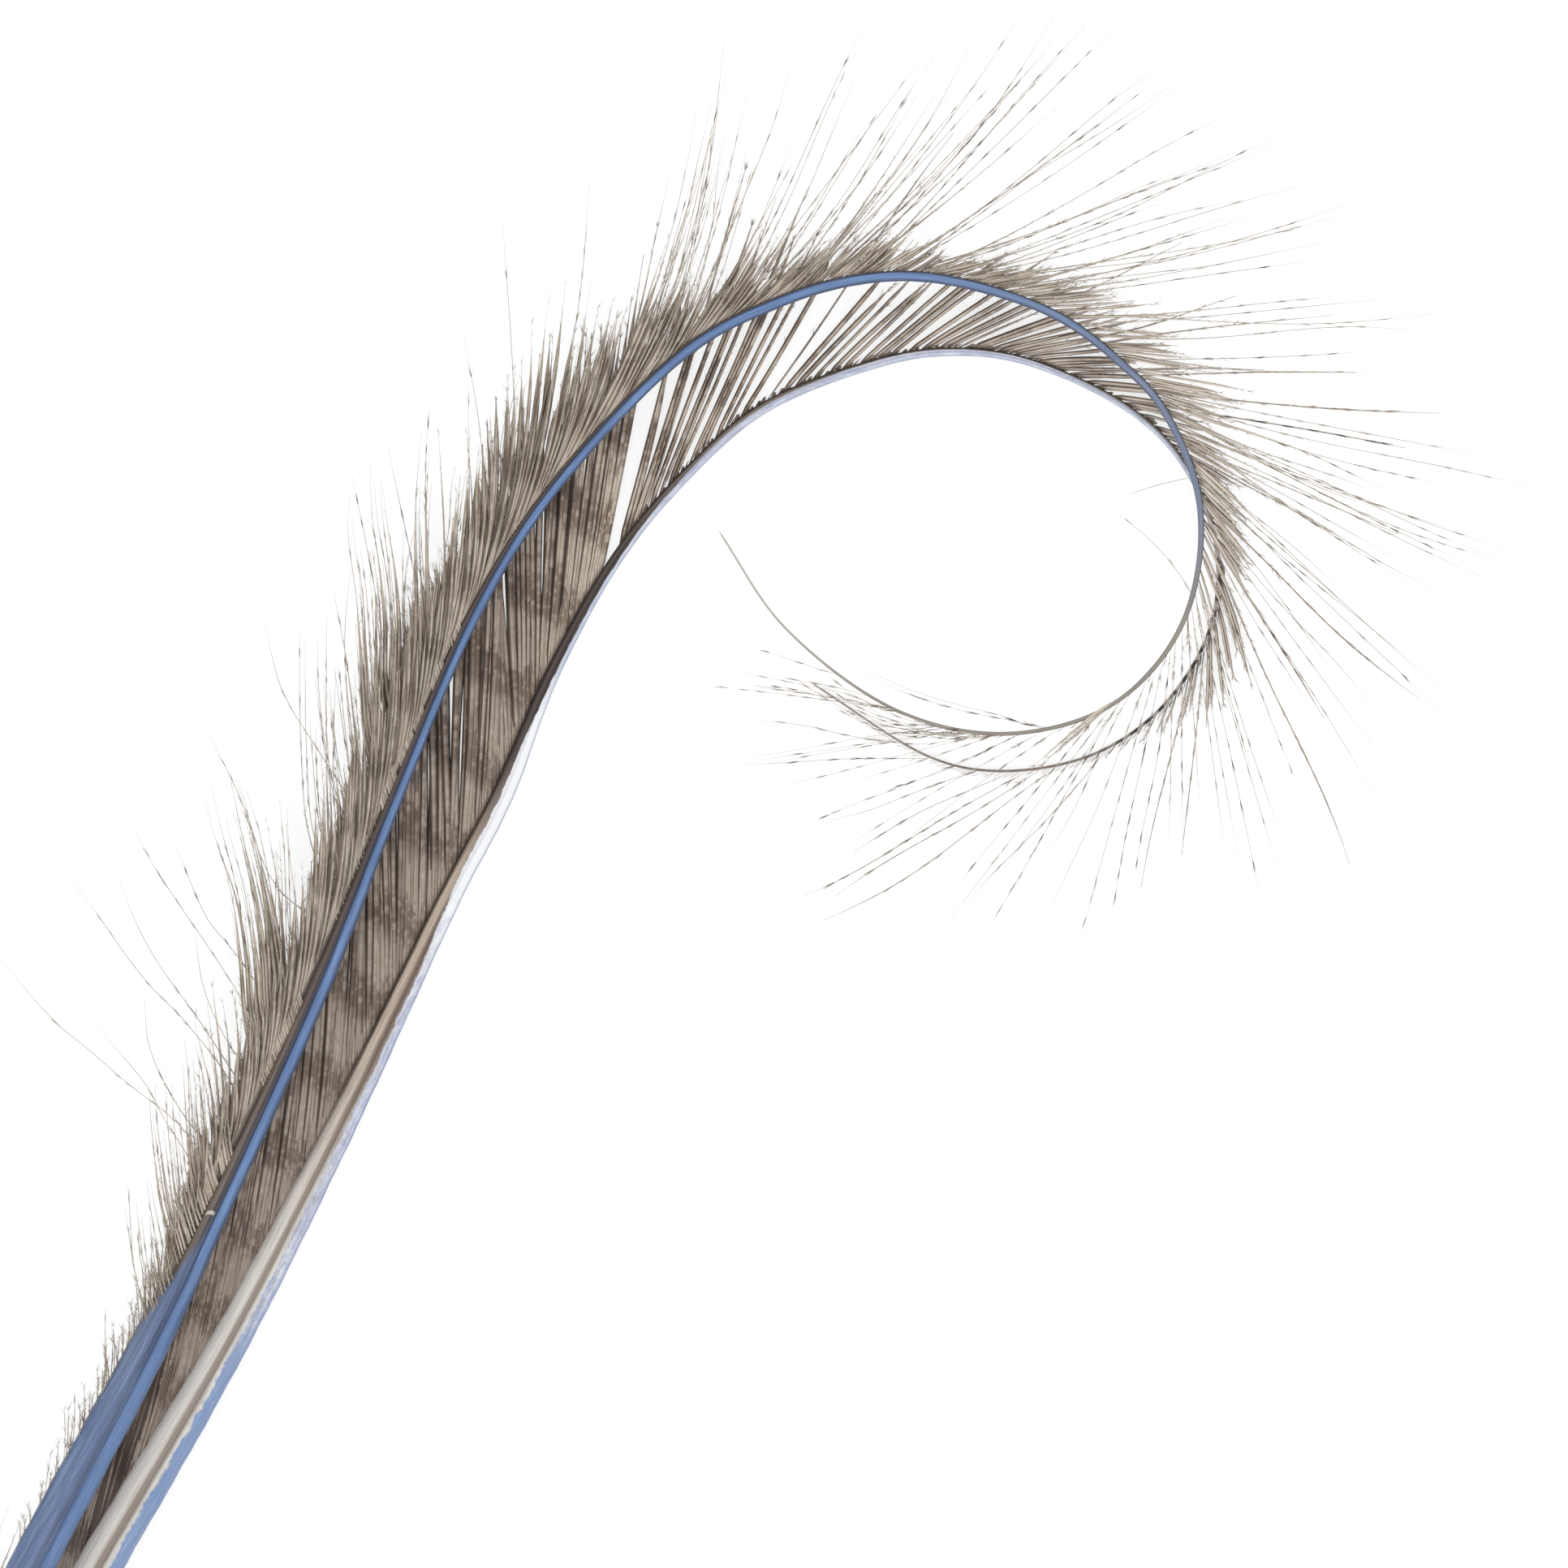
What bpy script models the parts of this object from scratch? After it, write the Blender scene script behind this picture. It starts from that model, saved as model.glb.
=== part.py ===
"""Burnt pheasant feather mount: two curled tail feathers, one on the other, tied at the quills.

Both feathers curl in one plane and lie flat, the back one on the surface and the front one over
it. Each is a rachis with a vane of locks on either side, fused into one solid. Metres, +Z up.
"""
import math

import bmesh
import bpy
from mathutils import Vector

MM = 0.001
FRONT_FLOOR = 4.0          # underside of the front rachis above the surface, mm
QUILL_LIFT = 1.42          # underside of both quills where the thread ties them, mm
RACHIS_DEPTH = 0.86        # height of a rachis over its width, at the quill
LEAST_DEPTH = 0.45         # a thin rachis keeps at least this height, mm
LOCK_THICKNESS = 0.56      # middle of a lock, mm
LOCK_STRAND, LOCK_TIP_WIDTH = 0.66, 0.5         # width of a lock past its web, mm
LOCK_RINGS = 7
BACK_CEILING = 3.45        # top of the back feather's locks under the front rachis, mm
FRONT_FLOOR_LOCKS = 3.95   # lowest point of the front feather's locks, mm
TIE_START, TIE_TURNS, TIE_PITCH = 4.0, 8, 1.0   # binding thread, from the cut ends, mm
TIE_GAP, TIE_THREAD = 0.32, 0.8

# Centre line of each rachis as x, y and width in mm, from the cut quill to the tip.
FRONT_LINE = [
    (-71.3, -80.6, 2.66), (-62.7, -64.4, 3.36), (-55.7, -50.5, 3.85), (-45.2, -30.8, 3.36),
    (-39.8, -19.6, 2.66), (-30.5, 0.7, 2.24), (-24.4, 15.9, 1.61), (-17.4, 32.0, 1.33),
    (-10.6, 42.7, 1.19), (1.1, 54.6, 1.05), (8.1, 58.3, 1.02), (15.1, 60.4, 0.95),
    (22.1, 60.6, 0.88), (32.4, 57.5, 0.77), (38.7, 52.8, 0.70), (41.8, 49.3, 0.67),
    (44.9, 41.4, 0.56), (44.2, 32.9, 0.46), (41.1, 27.2, 0.42), (36.1, 23.2, 0.39),
    (27.7, 21.4, 0.39), (18.9, 23.4, 0.35), (9.2, 30.6, 0.30), (3.6, 38.8, 0.30),
]
BACK_LINE = [
    (-67.3, -80.6, 2.66), (-58.5, -65.5, 3.36), (-50.0, -50.5, 3.85), (-38.6, -30.8, 3.29),
    (-29.3, -12.7, 2.66), (-19.5, 7.8, 1.96), (-15.3, 15.9, 1.89), (-10.9, 26.6, 1.26),
    (-5.0, 37.1, 1.05), (1.1, 44.3, 0.98), (7.3, 49.6, 0.98), (16.7, 53.4, 0.84),
    (22.5, 54.5, 0.77), (29.5, 53.9, 0.67), (38.7, 49.8, 0.60), (43.4, 45.4, 0.53),
    (46.4, 38.9, 0.46), (46.7, 33.2, 0.42), (45.2, 28.4, 0.39), (41.2, 23.0, 0.39),
    (35.6, 19.5, 0.39), (28.0, 18.2, 0.39), (22.1, 19.3, 0.35), (11.6, 25.8, 0.30),
]

# Along each rachis, mm from the cut end: angle of the barbs to it, their length,
# rise of the upper vane and spread of the lower one, both in degrees off the curl's plane,
# and the share of a lock that is webbed before it thins to a strand.
FRONT_VANE = [
    (32, 17, 7, 40, 4, 0.5), (52, 18, 10, 44, 4, 0.4), (66, 20, 16, 50, 3, 0.45),
    (82, 23, 25, 56, 2, 0.55), (98, 25, 29, 60, 1, 0.62), (130, 26, 30, 56, 1, 0.6),
    (144, 23, 31, 46, 1, 0.5), (156, 26, 32, 37, 2, 0.4), (166, 29, 32, 30, 2, 0.33),
    (176, 27, 32, 26, 2, 0.25), (186, 30, 33, 24, 2, 0.28), (198, 35, 33, 22, 2, 0.33),
    (206, 29, 30, 20, 2, 0.25), (216, 24, 28, 19, 2, 0.18), (226, 21, 28, 18, 2, 0.12),
    (238, 18, 23, 15, 2, 0.1), (248, 17, 17, 13, 2, 0.08), (256, 16, 10, 10, 2, 0.05),
]
BACK_VANE = [
    (28, 12, 12, 6, 9, 0.9), (42, 14, 16, 6, 9, 0.9), (56, 17, 20, 6, 9, 0.9),
    (70, 21, 24, 7, 9, 0.85), (84, 24, 28, 7, 8, 0.85), (100, 25, 29, 8, 7, 0.8),
    (116, 24, 30, 8, 7, 0.8), (126, 22, 31, 8, 6, 0.75), (140, 20, 31, 8, 5, 0.7),
    (154, 22, 32, 8, 4, 0.62), (168, 23, 32, 8, 3, 0.55), (180, 22, 32, 8, 3, 0.45),
    (192, 20, 30, 7, 3, 0.28), (204, 22, 27, 6, 2, 0.15), (212, 26, 26, 6, 2, 0.12),
    (222, 21, 26, 6, 2, 0.1), (232, 22, 21, 5, 2, 0.08), (244, 18, 15, 5, 2, 0.05),
    (250, 15, 11, 4, 2, 0.05),
]
# First lock, last lock and step of each vane, mm along the rachis.
FRONT_UPPER, FRONT_LOWER = (38.0, 252.0, 7.4), (44.0, 250.0, 10.2)
BACK_UPPER, BACK_LOWER = (33.0, 241.0, 7.8), (37.0, 238.0, 10.6)


def clear_scene():
    for item in list(bpy.data.objects):
        bpy.data.objects.remove(item)


def between(rows, at):
    """The values of a table at a place along it, by straight lines between its rows."""
    if at <= rows[0][0]:
        return rows[0][1:]
    for low, high in zip(rows, rows[1:]):
        if at <= high[0]:
            part = (at - low[0]) / (high[0] - low[0])
            return tuple(a + part * (b - a) for a, b in zip(low[1:], high[1:]))
    return rows[-1][1:]


def spline(points, steps):
    """A centripetal curve through the points, with that many steps in each gap."""
    first = [2 * a - b for a, b in zip(points[0], points[1])]
    last = [2 * a - b for a, b in zip(points[-1], points[-2])]
    run = [Vector(p) for p in [first] + list(points) + [last]]
    out = []
    for i in range(1, len(run) - 2):
        p0, p1, p2, p3 = run[i - 1:i + 3]
        t0 = 0.0
        t1 = t0 + (p1 - p0).length ** 0.5
        t2 = t1 + (p2 - p1).length ** 0.5
        t3 = t2 + (p3 - p2).length ** 0.5
        for k in range(steps):
            t = t1 + (t2 - t1) * k / steps
            a1 = p0 * ((t1 - t) / (t1 - t0)) + p1 * ((t - t0) / (t1 - t0))
            a2 = p1 * ((t2 - t) / (t2 - t1)) + p2 * ((t - t1) / (t2 - t1))
            a3 = p2 * ((t3 - t) / (t3 - t2)) + p3 * ((t - t2) / (t3 - t2))
            b1 = a1 * ((t2 - t) / (t2 - t0)) + a2 * ((t - t0) / (t2 - t0))
            b2 = a2 * ((t3 - t) / (t3 - t1)) + a3 * ((t - t1) / (t3 - t1))
            out.append(b1 * ((t2 - t) / (t2 - t1)) + b2 * ((t - t1) / (t2 - t1)))
    out.append(run[-2])
    return out


class Rachis:
    """A traced centre line with its width, underside and height at each place along it."""

    def __init__(self, line, front):
        self.points = spline(line, 12)
        self.front = front
        self.along = [0.0]
        for a, b in zip(self.points, self.points[1:]):
            self.along.append(self.along[-1] + (b - a).xy.length)

    def at(self, along):
        """Place, direction and outward side in the plane, and the width there."""
        i = 1
        while i < len(self.along) - 1 and self.along[i] < along:
            i += 1
        span = self.along[i] - self.along[i - 1]
        part = (along - self.along[i - 1]) / span
        a, b = self.points[i - 1], self.points[i]
        place = a + (b - a) * part
        before, after = self.points[max(i - 3, 0)], self.points[min(i + 2, len(self.points) - 1)]
        ahead = (after - before).xy.normalized()
        ahead = Vector((ahead.x, ahead.y, 0.0))
        return Vector((place.x, place.y, 0.0)), ahead, Vector((-ahead.y, ahead.x, 0.0)), place.z

    def depth(self, along):
        width = self.at(along)[3]
        return max(LEAST_DEPTH, width * RACHIS_DEPTH if width > 1.2 else 0.55 + 0.4 * width)

    def underside(self, along):
        if self.front:
            rise = [(0, QUILL_LIFT), (14, QUILL_LIFT + 0.05), (24, 2.3), (34, 3.5), (46, FRONT_FLOOR),
                    (300, FRONT_FLOOR)]
        else:
            rise = [(0, QUILL_LIFT), (14, QUILL_LIFT - 0.05), (26, 0.55), (38, 0.1), (44, 0.0),
                    (300, 0.0)]
        return between(rise, along)[0]


# Half sections as shares of width and height: the front rachis has a ridge on its inner side,
# the back one a groove along its top.
FRONT_SECTION = [(-0.30, 0.0), (0.30, 0.0), (0.50, 0.40), (0.38, 0.72), (-0.08, 0.84),
                 (-0.16, 1.0), (-0.42, 1.0), (-0.50, 0.5)]
BACK_SECTION = [(-0.30, 0.0), (0.30, 0.0), (0.50, 0.42), (0.36, 0.94), (0.07, 0.97), (0.0, 0.84),
                (-0.07, 0.97), (-0.36, 0.94), (-0.50, 0.42)]


def skin(bm, rings):
    """Closes a run of rings of vertices into one solid."""
    made = [[bm.verts.new(p * MM) for p in ring] for ring in rings]
    for low, high in zip(made, made[1:]):
        count = len(low)
        for i in range(count):
            j = (i + 1) % count
            bm.faces.new((low[i], low[j], high[j], high[i]))
    bm.faces.new(list(reversed(made[0])))
    bm.faces.new(made[-1])


def finish(name, bm, collection):
    bmesh.ops.triangulate(bm, faces=bm.faces[:])
    bmesh.ops.recalc_face_normals(bm, faces=bm.faces[:])
    mesh = bpy.data.meshes.new(name)
    bm.to_mesh(mesh)
    bm.free()
    made = bpy.data.objects.new(name, mesh)
    collection.objects.link(made)
    return made


def rachis_solid(name, rachis, section, collection):
    bm = bmesh.new()
    total = rachis.along[-1]
    places, at = [], 0.0
    while at < total - 2.0:
        places.append(at)
        at += 5.2 if at < 140 else (3.4 if at < 215 else 3.8)
    places.append(total)
    rings = []
    for at in places:
        centre, ahead, outward, width = rachis.at(at)
        low, high = rachis.underside(at), rachis.depth(at)
        rings.append([centre + outward * (s * width) + Vector((0, 0, low + t * high))
                      for s, t in section])
    skin(bm, rings)
    return finish(name, bm, collection)


def wobble(number, salt):
    """A repeatable number from -1 to 1 for a lock."""
    return 2.0 * ((math.sin(number * 12.9898 + salt * 78.233) * 43758.5453) % 1.0) - 1.0


def lock_line(rachis, table, at, upper, number):
    """Centre points of a lock from inside the rachis to its tip, with the way of its width."""
    angle, length, rise, spread, webbed = between(table, at)
    angle = math.radians(angle + 2.0 * wobble(number, 1))
    length *= 0.94 + 0.06 * wobble(number, 2)
    centre, ahead, outward, width = rachis.at(at)
    tilt = math.radians((rise + 5.0 * wobble(number, 3)) if upper and rachis.front
                        else (rise + 1.0 * wobble(number, 3)) if upper else -spread)
    low, high = rachis.underside(at), rachis.depth(at)
    start = centre + outward * (0.12 * width) + Vector((0, 0, low + high * (0.6 if upper else 0.42)))
    side = outward * math.cos(tilt) + Vector((0, 0, math.sin(tilt)))
    points, place = [], start.copy()
    step = length / (LOCK_RINGS - 1)
    for i in range(LOCK_RINGS):
        points.append(place.copy())
        part = i / (LOCK_RINGS - 1)
        bend = angle * (1.28 - 0.5 * part)
        place += (ahead * math.cos(bend) + side * math.sin(bend)) * step
    return points, ahead, side, angle, width, webbed


def lock_rings(rachis, table, at, upper, number, spacing):
    points, ahead, side, angle, width, webbed = lock_line(rachis, table, at, upper, number)
    across = side * math.cos(angle) - ahead * math.sin(angle)
    normal = across.cross(ahead * math.cos(angle) + side * math.sin(angle)).normalized()
    broad = min(spacing * math.sin(angle) * 0.86, 3.0)
    root = min(0.8, 0.5 * width + 0.12)
    shape = [root]
    for i in range(1, LOCK_RINGS - 1):
        thin = min(1.0, max(0.0, (i / (LOCK_RINGS - 1) - webbed) / 0.24))
        shape.append(broad + (LOCK_STRAND - broad) * thin)
    shape[1] = min(shape[1], 0.62 * broad + 0.2)
    shape.append(LOCK_TIP_WIDTH)
    rings = []
    for i, place in enumerate(points):
        half = 0.5 * shape[i]
        thick = 0.5 * LOCK_THICKNESS * (0.62 if i in (0, LOCK_RINGS - 1) else 1.0)
        if rachis.front:
            lowest = FRONT_FLOOR_LOCKS + thick if at > 44 else rachis.underside(at) + thick
            highest = 99.0
        else:
            lowest = thick
            highest = (BACK_CEILING if at > 60 else 1.7 + 1.4 * max(0.0, at - 34) / 26) - thick
        ring = []
        for s, t in ((-half, 0.0), (0.0, thick), (half, 0.0), (0.0, -thick)):
            corner = place + across * s + normal * t
            level = min(max(place.z + (across * s).z, lowest), highest)
            corner.z = level + (normal * t).z
            ring.append(corner)
        rings.append(ring)
    return rings


def vane(bm_name, rachis, table, run, upper, salt, collection):
    first, last, step = run
    count = int((last - first) / step) + 1
    made = []
    for k in range(count):
        at = first + k * step + 0.9 * wobble(k, salt)
        bm = bmesh.new()
        skin(bm, lock_rings(rachis, table, at, upper, k + 40 * salt, step))
        made.append(finish(bm_name + str(k), bm, collection))
    return made


def fuse(body, pieces, holder):
    """Joins the pieces to the body with one exact union."""
    change = body.modifiers.new("locks", "BOOLEAN")
    change.operation = "UNION"
    change.solver = "EXACT"
    change.operand_type = "COLLECTION"
    change.collection = holder
    shown = bpy.context.evaluated_depsgraph_get()
    shown.update()
    mesh = bpy.data.meshes.new_from_object(body.evaluated_get(shown))
    body.modifiers.clear()
    body.data = mesh
    for piece in pieces:
        bpy.data.objects.remove(piece)
    return body


def feather(name, line, front, table, upper_run, lower_run, section, main):
    rachis = Rachis(line, front)
    holder = bpy.data.collections.new(name + "_locks")
    bpy.context.scene.collection.children.link(holder)
    holder.hide_render = True
    body = rachis_solid(name, rachis, section, main)
    locks = vane("upper_lock_", rachis, table, upper_run, True, 1 if front else 3, holder)
    locks += vane("lower_lock_", rachis, table, lower_run, False, 2 if front else 4, holder)
    for lock in locks:
        lock.display_type = "WIRE"
    fuse(body, locks, holder)
    return body, rachis


def binding(front, back, main):
    """A sleeve of thread turns around both quills, 0.3 mm clear of them."""
    middle = TIE_START + TIE_TURNS * TIE_PITCH / 2
    (a, ahead_a, side_a, wide_a), (b, ahead_b, side_b, wide_b) = front.at(middle), back.at(middle)
    ahead = (ahead_a + ahead_b).normalized()
    side = Vector((-ahead.y, ahead.x, 0.0))
    reach = (a - b).dot(side) / 2
    centre = (a + b) / 2
    centre -= ahead * (centre - (a + b) / 2).dot(ahead)
    level = QUILL_LIFT + 0.5 * RACHIS_DEPTH * wide_a
    inner = 0.5 * max(wide_a, wide_b) + TIE_GAP + 0.08
    around = 24
    profile = [(-0.5 * TIE_TURNS * TIE_PITCH, 0.0)]
    for turn in range(TIE_TURNS):
        low = (turn - 0.5 * TIE_TURNS) * TIE_PITCH
        profile += [(low + 0.03, 0.55 * TIE_THREAD), (low + 0.5 * TIE_PITCH, TIE_THREAD)]
    profile += [(0.5 * TIE_TURNS * TIE_PITCH - 0.03, 0.55 * TIE_THREAD),
                (0.5 * TIE_TURNS * TIE_PITCH, 0.0)]
    bm = bmesh.new()
    rings = []
    for i in range(around):
        turn = 2 * math.pi * (i + 0.5) / around
        way = side * math.cos(turn) + Vector((0, 0, math.sin(turn)))
        heart = centre + side * math.copysign(reach, math.cos(turn)) + Vector((0, 0, level))
        rings.append([bm.verts.new((heart + ahead * s + way * (inner + t)) * MM)
                      for s, t in profile])
    for i in range(around):
        low, high = rings[i], rings[(i + 1) % around]
        for j in range(len(profile)):
            k = (j + 1) % len(profile)
            bm.faces.new((low[j], low[k], high[k], high[j]))
    return finish("binding_thread", bm, main)


def paint(item, name, colour, rough):
    made = bpy.data.materials.new(name)
    made.use_nodes = True
    shader = made.node_tree.nodes["Principled BSDF"]
    shader.inputs["Base Color"].default_value = colour
    shader.inputs["Roughness"].default_value = rough
    item.data.materials.clear()
    item.data.materials.append(made)


def settle(items, name):
    """Hangs the pieces on an empty, with the middle of their plan on the origin and on zero."""
    spots = [v.co for item in items for v in item.data.vertices]
    low = Vector([min(s[i] for s in spots) for i in range(3)])
    high = Vector([max(s[i] for s in spots) for i in range(3)])
    holder = bpy.data.objects.new(name, None)
    bpy.context.scene.collection.objects.link(holder)
    for item in items:
        item.parent = holder
        item.location = (-(low.x + high.x) / 2, -(low.y + high.y) / 2, -low.z)
    print("placed at mm", [round(1000 * s, 4) for s in items[0].location],
          "size mm", [round(1000 * s, 3) for s in high - low])
    bpy.context.view_layer.update()


def main():
    clear_scene()
    mount = bpy.data.collections.new("burnt_pheasant_feather_mount")
    bpy.context.scene.collection.children.link(mount)
    front, front_line = feather("front_feather", FRONT_LINE, True, FRONT_VANE, FRONT_UPPER,
                                FRONT_LOWER, FRONT_SECTION, mount)
    back, back_line = feather("back_feather", BACK_LINE, False, BACK_VANE, BACK_UPPER,
                              BACK_LOWER, BACK_SECTION, mount)
    tie = binding(front_line, back_line, mount)
    paint(front, "front_feather_keratin", (0.16, 0.16, 0.18, 1), 0.5)
    paint(back, "back_feather_keratin", (0.30, 0.25, 0.20, 1), 0.5)
    paint(tie, "binding_thread_cotton", (0.10, 0.075, 0.055, 1), 0.85)
    settle([front, back, tie], "mount_place")


main()
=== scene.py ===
"""Looks of a burnt pheasant feather mount: two curled tail feathers lying one over the other.

The rachises, barbs and binding thread are built in millimetres along the two traced centre
lines, and moved to the frame's place and metres at the end.
"""
import math

import bpy
import numpy as np
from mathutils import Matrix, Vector

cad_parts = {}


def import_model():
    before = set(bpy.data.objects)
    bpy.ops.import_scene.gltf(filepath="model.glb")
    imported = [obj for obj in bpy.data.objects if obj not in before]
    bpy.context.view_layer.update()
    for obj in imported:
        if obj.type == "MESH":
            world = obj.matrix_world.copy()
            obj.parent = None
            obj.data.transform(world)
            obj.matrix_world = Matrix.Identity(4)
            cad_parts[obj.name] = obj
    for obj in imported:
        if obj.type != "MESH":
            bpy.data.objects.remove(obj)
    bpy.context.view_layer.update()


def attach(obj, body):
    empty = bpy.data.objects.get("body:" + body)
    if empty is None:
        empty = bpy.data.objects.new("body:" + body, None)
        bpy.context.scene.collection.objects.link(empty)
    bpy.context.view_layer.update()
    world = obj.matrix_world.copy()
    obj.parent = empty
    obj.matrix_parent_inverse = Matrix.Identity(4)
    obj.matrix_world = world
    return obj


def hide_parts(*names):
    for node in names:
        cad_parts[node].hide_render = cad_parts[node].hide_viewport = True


PLACE = np.array([0.5485, -0.6622, 0.0])     # the traced plan's origin in the frame, mm
PIXEL = 0.07             # mm of the plan that one pixel of the photograph shows
PLAN_PIXEL = (835, 1210)     # the pixel at the plan's origin
PHOTO_PIXELS = 1932      # side of the photograph
ROOM_GAIN = 1.62         # how much brighter the room shows a surface than its own colour

FRONT_LINE = [
    (-71.3, -80.6, 2.66), (-62.7, -64.4, 3.36), (-55.7, -50.5, 3.85), (-45.2, -30.8, 3.36),
    (-39.8, -19.6, 2.66), (-30.5, 0.7, 2.24), (-24.4, 15.9, 1.61), (-17.4, 32.0, 1.33),
    (-10.6, 42.7, 1.19), (1.1, 54.6, 1.05), (8.1, 58.3, 1.02), (15.1, 60.4, 0.95),
    (22.1, 60.6, 0.88), (32.4, 57.5, 0.77), (38.7, 52.8, 0.70), (41.8, 49.3, 0.67),
    (44.9, 41.4, 0.56), (44.2, 32.9, 0.46), (41.1, 27.2, 0.42), (36.1, 23.2, 0.39),
    (27.7, 21.4, 0.39), (18.9, 23.4, 0.35), (9.2, 30.6, 0.30), (3.6, 38.8, 0.30),
]
BACK_LINE = [
    (-67.3, -80.6, 2.66), (-58.5, -65.5, 3.36), (-50.0, -50.5, 3.85), (-38.6, -30.8, 3.29),
    (-29.3, -12.7, 2.66), (-19.5, 7.8, 1.96), (-15.3, 15.9, 1.89), (-10.9, 26.6, 1.26),
    (-5.0, 37.1, 1.05), (1.1, 44.3, 0.98), (7.3, 49.6, 0.98), (16.7, 53.4, 0.84),
    (22.5, 54.5, 0.77), (29.5, 53.9, 0.67), (38.7, 49.8, 0.60), (43.4, 45.4, 0.53),
    (46.4, 38.9, 0.46), (46.7, 33.2, 0.42), (45.2, 28.4, 0.39), (41.2, 23.0, 0.39),
    (35.6, 19.5, 0.39), (28.0, 18.2, 0.39), (22.1, 19.3, 0.35), (11.6, 25.8, 0.30),
]
# Underside of each rachis over the table: mm along it, mm up.
FRONT_UNDERSIDE = [(0, 1.42), (14, 1.47), (24, 2.3), (34, 3.5), (46, 4.0)]
BACK_UNDERSIDE = [(0, 1.42), (14, 1.37), (26, 0.55), (38, 0.1), (44, 0.0)]
# mm along the rachis: angle of a barb in degrees, length of a whole barb in mm, how far the upper
# vane rises and the lower one falls in degrees.
FRONT_VANE = [
    (32, 20, 6, 24, 4), (52, 23, 9, 28, 4), (66, 23, 14, 42, 3), (82, 23, 24, 56, 2),
    (98, 25, 29, 60, 1), (130, 26, 30, 56, 1), (144, 23, 31, 46, 1), (156, 26, 32, 37, 2),
    (166, 29, 32, 30, 2), (176, 27, 32, 26, 2), (186, 30, 33, 24, 2), (198, 35, 33, 22, 2),
    (206, 29, 30, 20, 2), (216, 24, 28, 19, 2), (226, 21, 28, 18, 2), (238, 18, 23, 15, 2),
    (248, 17, 17, 13, 2), (256, 16, 10, 10, 2),
]
BACK_VANE = [
    (22, 13, 12, 6, 9), (42, 15, 16, 6, 9), (56, 17, 20, 6, 9), (70, 21, 24, 7, 9),
    (84, 24, 28, 7, 8), (100, 25, 29, 8, 7), (116, 24, 30, 8, 7), (126, 22, 31, 8, 6),
    (140, 20, 31, 8, 5), (154, 22, 32, 8, 4), (168, 23, 32, 8, 3), (180, 22, 32, 8, 3),
    (192, 20, 30, 7, 3), (204, 19, 27, 6, 2), (212, 17, 26, 6, 2), (222, 20, 26, 6, 2),
    (232, 22, 21, 5, 2), (244, 18, 15, 5, 2), (250, 15, 11, 4, 2),
]
# What the fire left, mm along the rachis: webbed length in mm, share of barbs that run on as bare
# threads, share of barbs burnt off at the root, width of a barb with its web in mm.
FRONT_UPPER_BURN = [
    (32, 3.0, 0.02, 0.6, 0.08), (54, 5.0, 0.04, 0.45, 0.09), (62, 6.0, 0.08, 0.3, 0.18),
    (68, 7.5, 0.12, 0.15, 0.42), (76, 11, 0.12, 0.05, 0.5), (88, 14, 0.12, 0.0, 0.5),
    (100, 14.5, 0.12, 0.0, 0.5), (130, 16, 0.16, 0.0, 0.5), (138, 15.5, 0.25, 0.05, 0.48),
    (146, 12, 0.35, 0.08, 0.42), (154, 8.5, 0.42, 0.08, 0.36), (164, 5.0, 0.42, 0.1, 0.3),
    (176, 4.0, 0.38, 0.12, 0.26), (183, 6.0, 0.34, 0.22, 0.22), (190, 8.0, 0.36, 0.3, 0.19),
    (197, 7.0, 0.4, 0.34, 0.2), (204, 6.0, 0.6, 0.36, 0.3), (211, 5.5, 0.85, 0.5, 0.3),
    (218, 2.0, 1.0, 0.6, 0.12), (226, 1.0, 1.0, 0.66, 0.08), (240, 0.8, 1.0, 0.8, 0.08),
    (256, 0.8, 0.9, 0.9, 0.08),
]
FRONT_LOWER_BURN = [
    (40, 2.0, 0.03, 0.7, 0.08), (56, 3.6, 0.05, 0.5, 0.1), (64, 5.0, 0.08, 0.2, 0.36),
    (72, 6.5, 0.06, 0.05, 0.5), (130, 8.0, 0.06, 0.0, 0.5), (142, 7.0, 0.16, 0.05, 0.42),
    (154, 5.5, 0.25, 0.08, 0.36), (168, 4.0, 0.3, 0.1, 0.32), (178, 3.6, 0.30, 0.15, 0.26),
    (188, 5.5, 0.28, 0.35, 0.18), (197, 5.0, 0.3, 0.45, 0.18), (206, 4.0, 0.6, 0.55, 0.22),
    (216, 1.6, 0.9, 0.8, 0.12), (230, 0.8, 0.9, 0.86, 0.1), (254, 0.8, 0.9, 0.9, 0.1),
]
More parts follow.
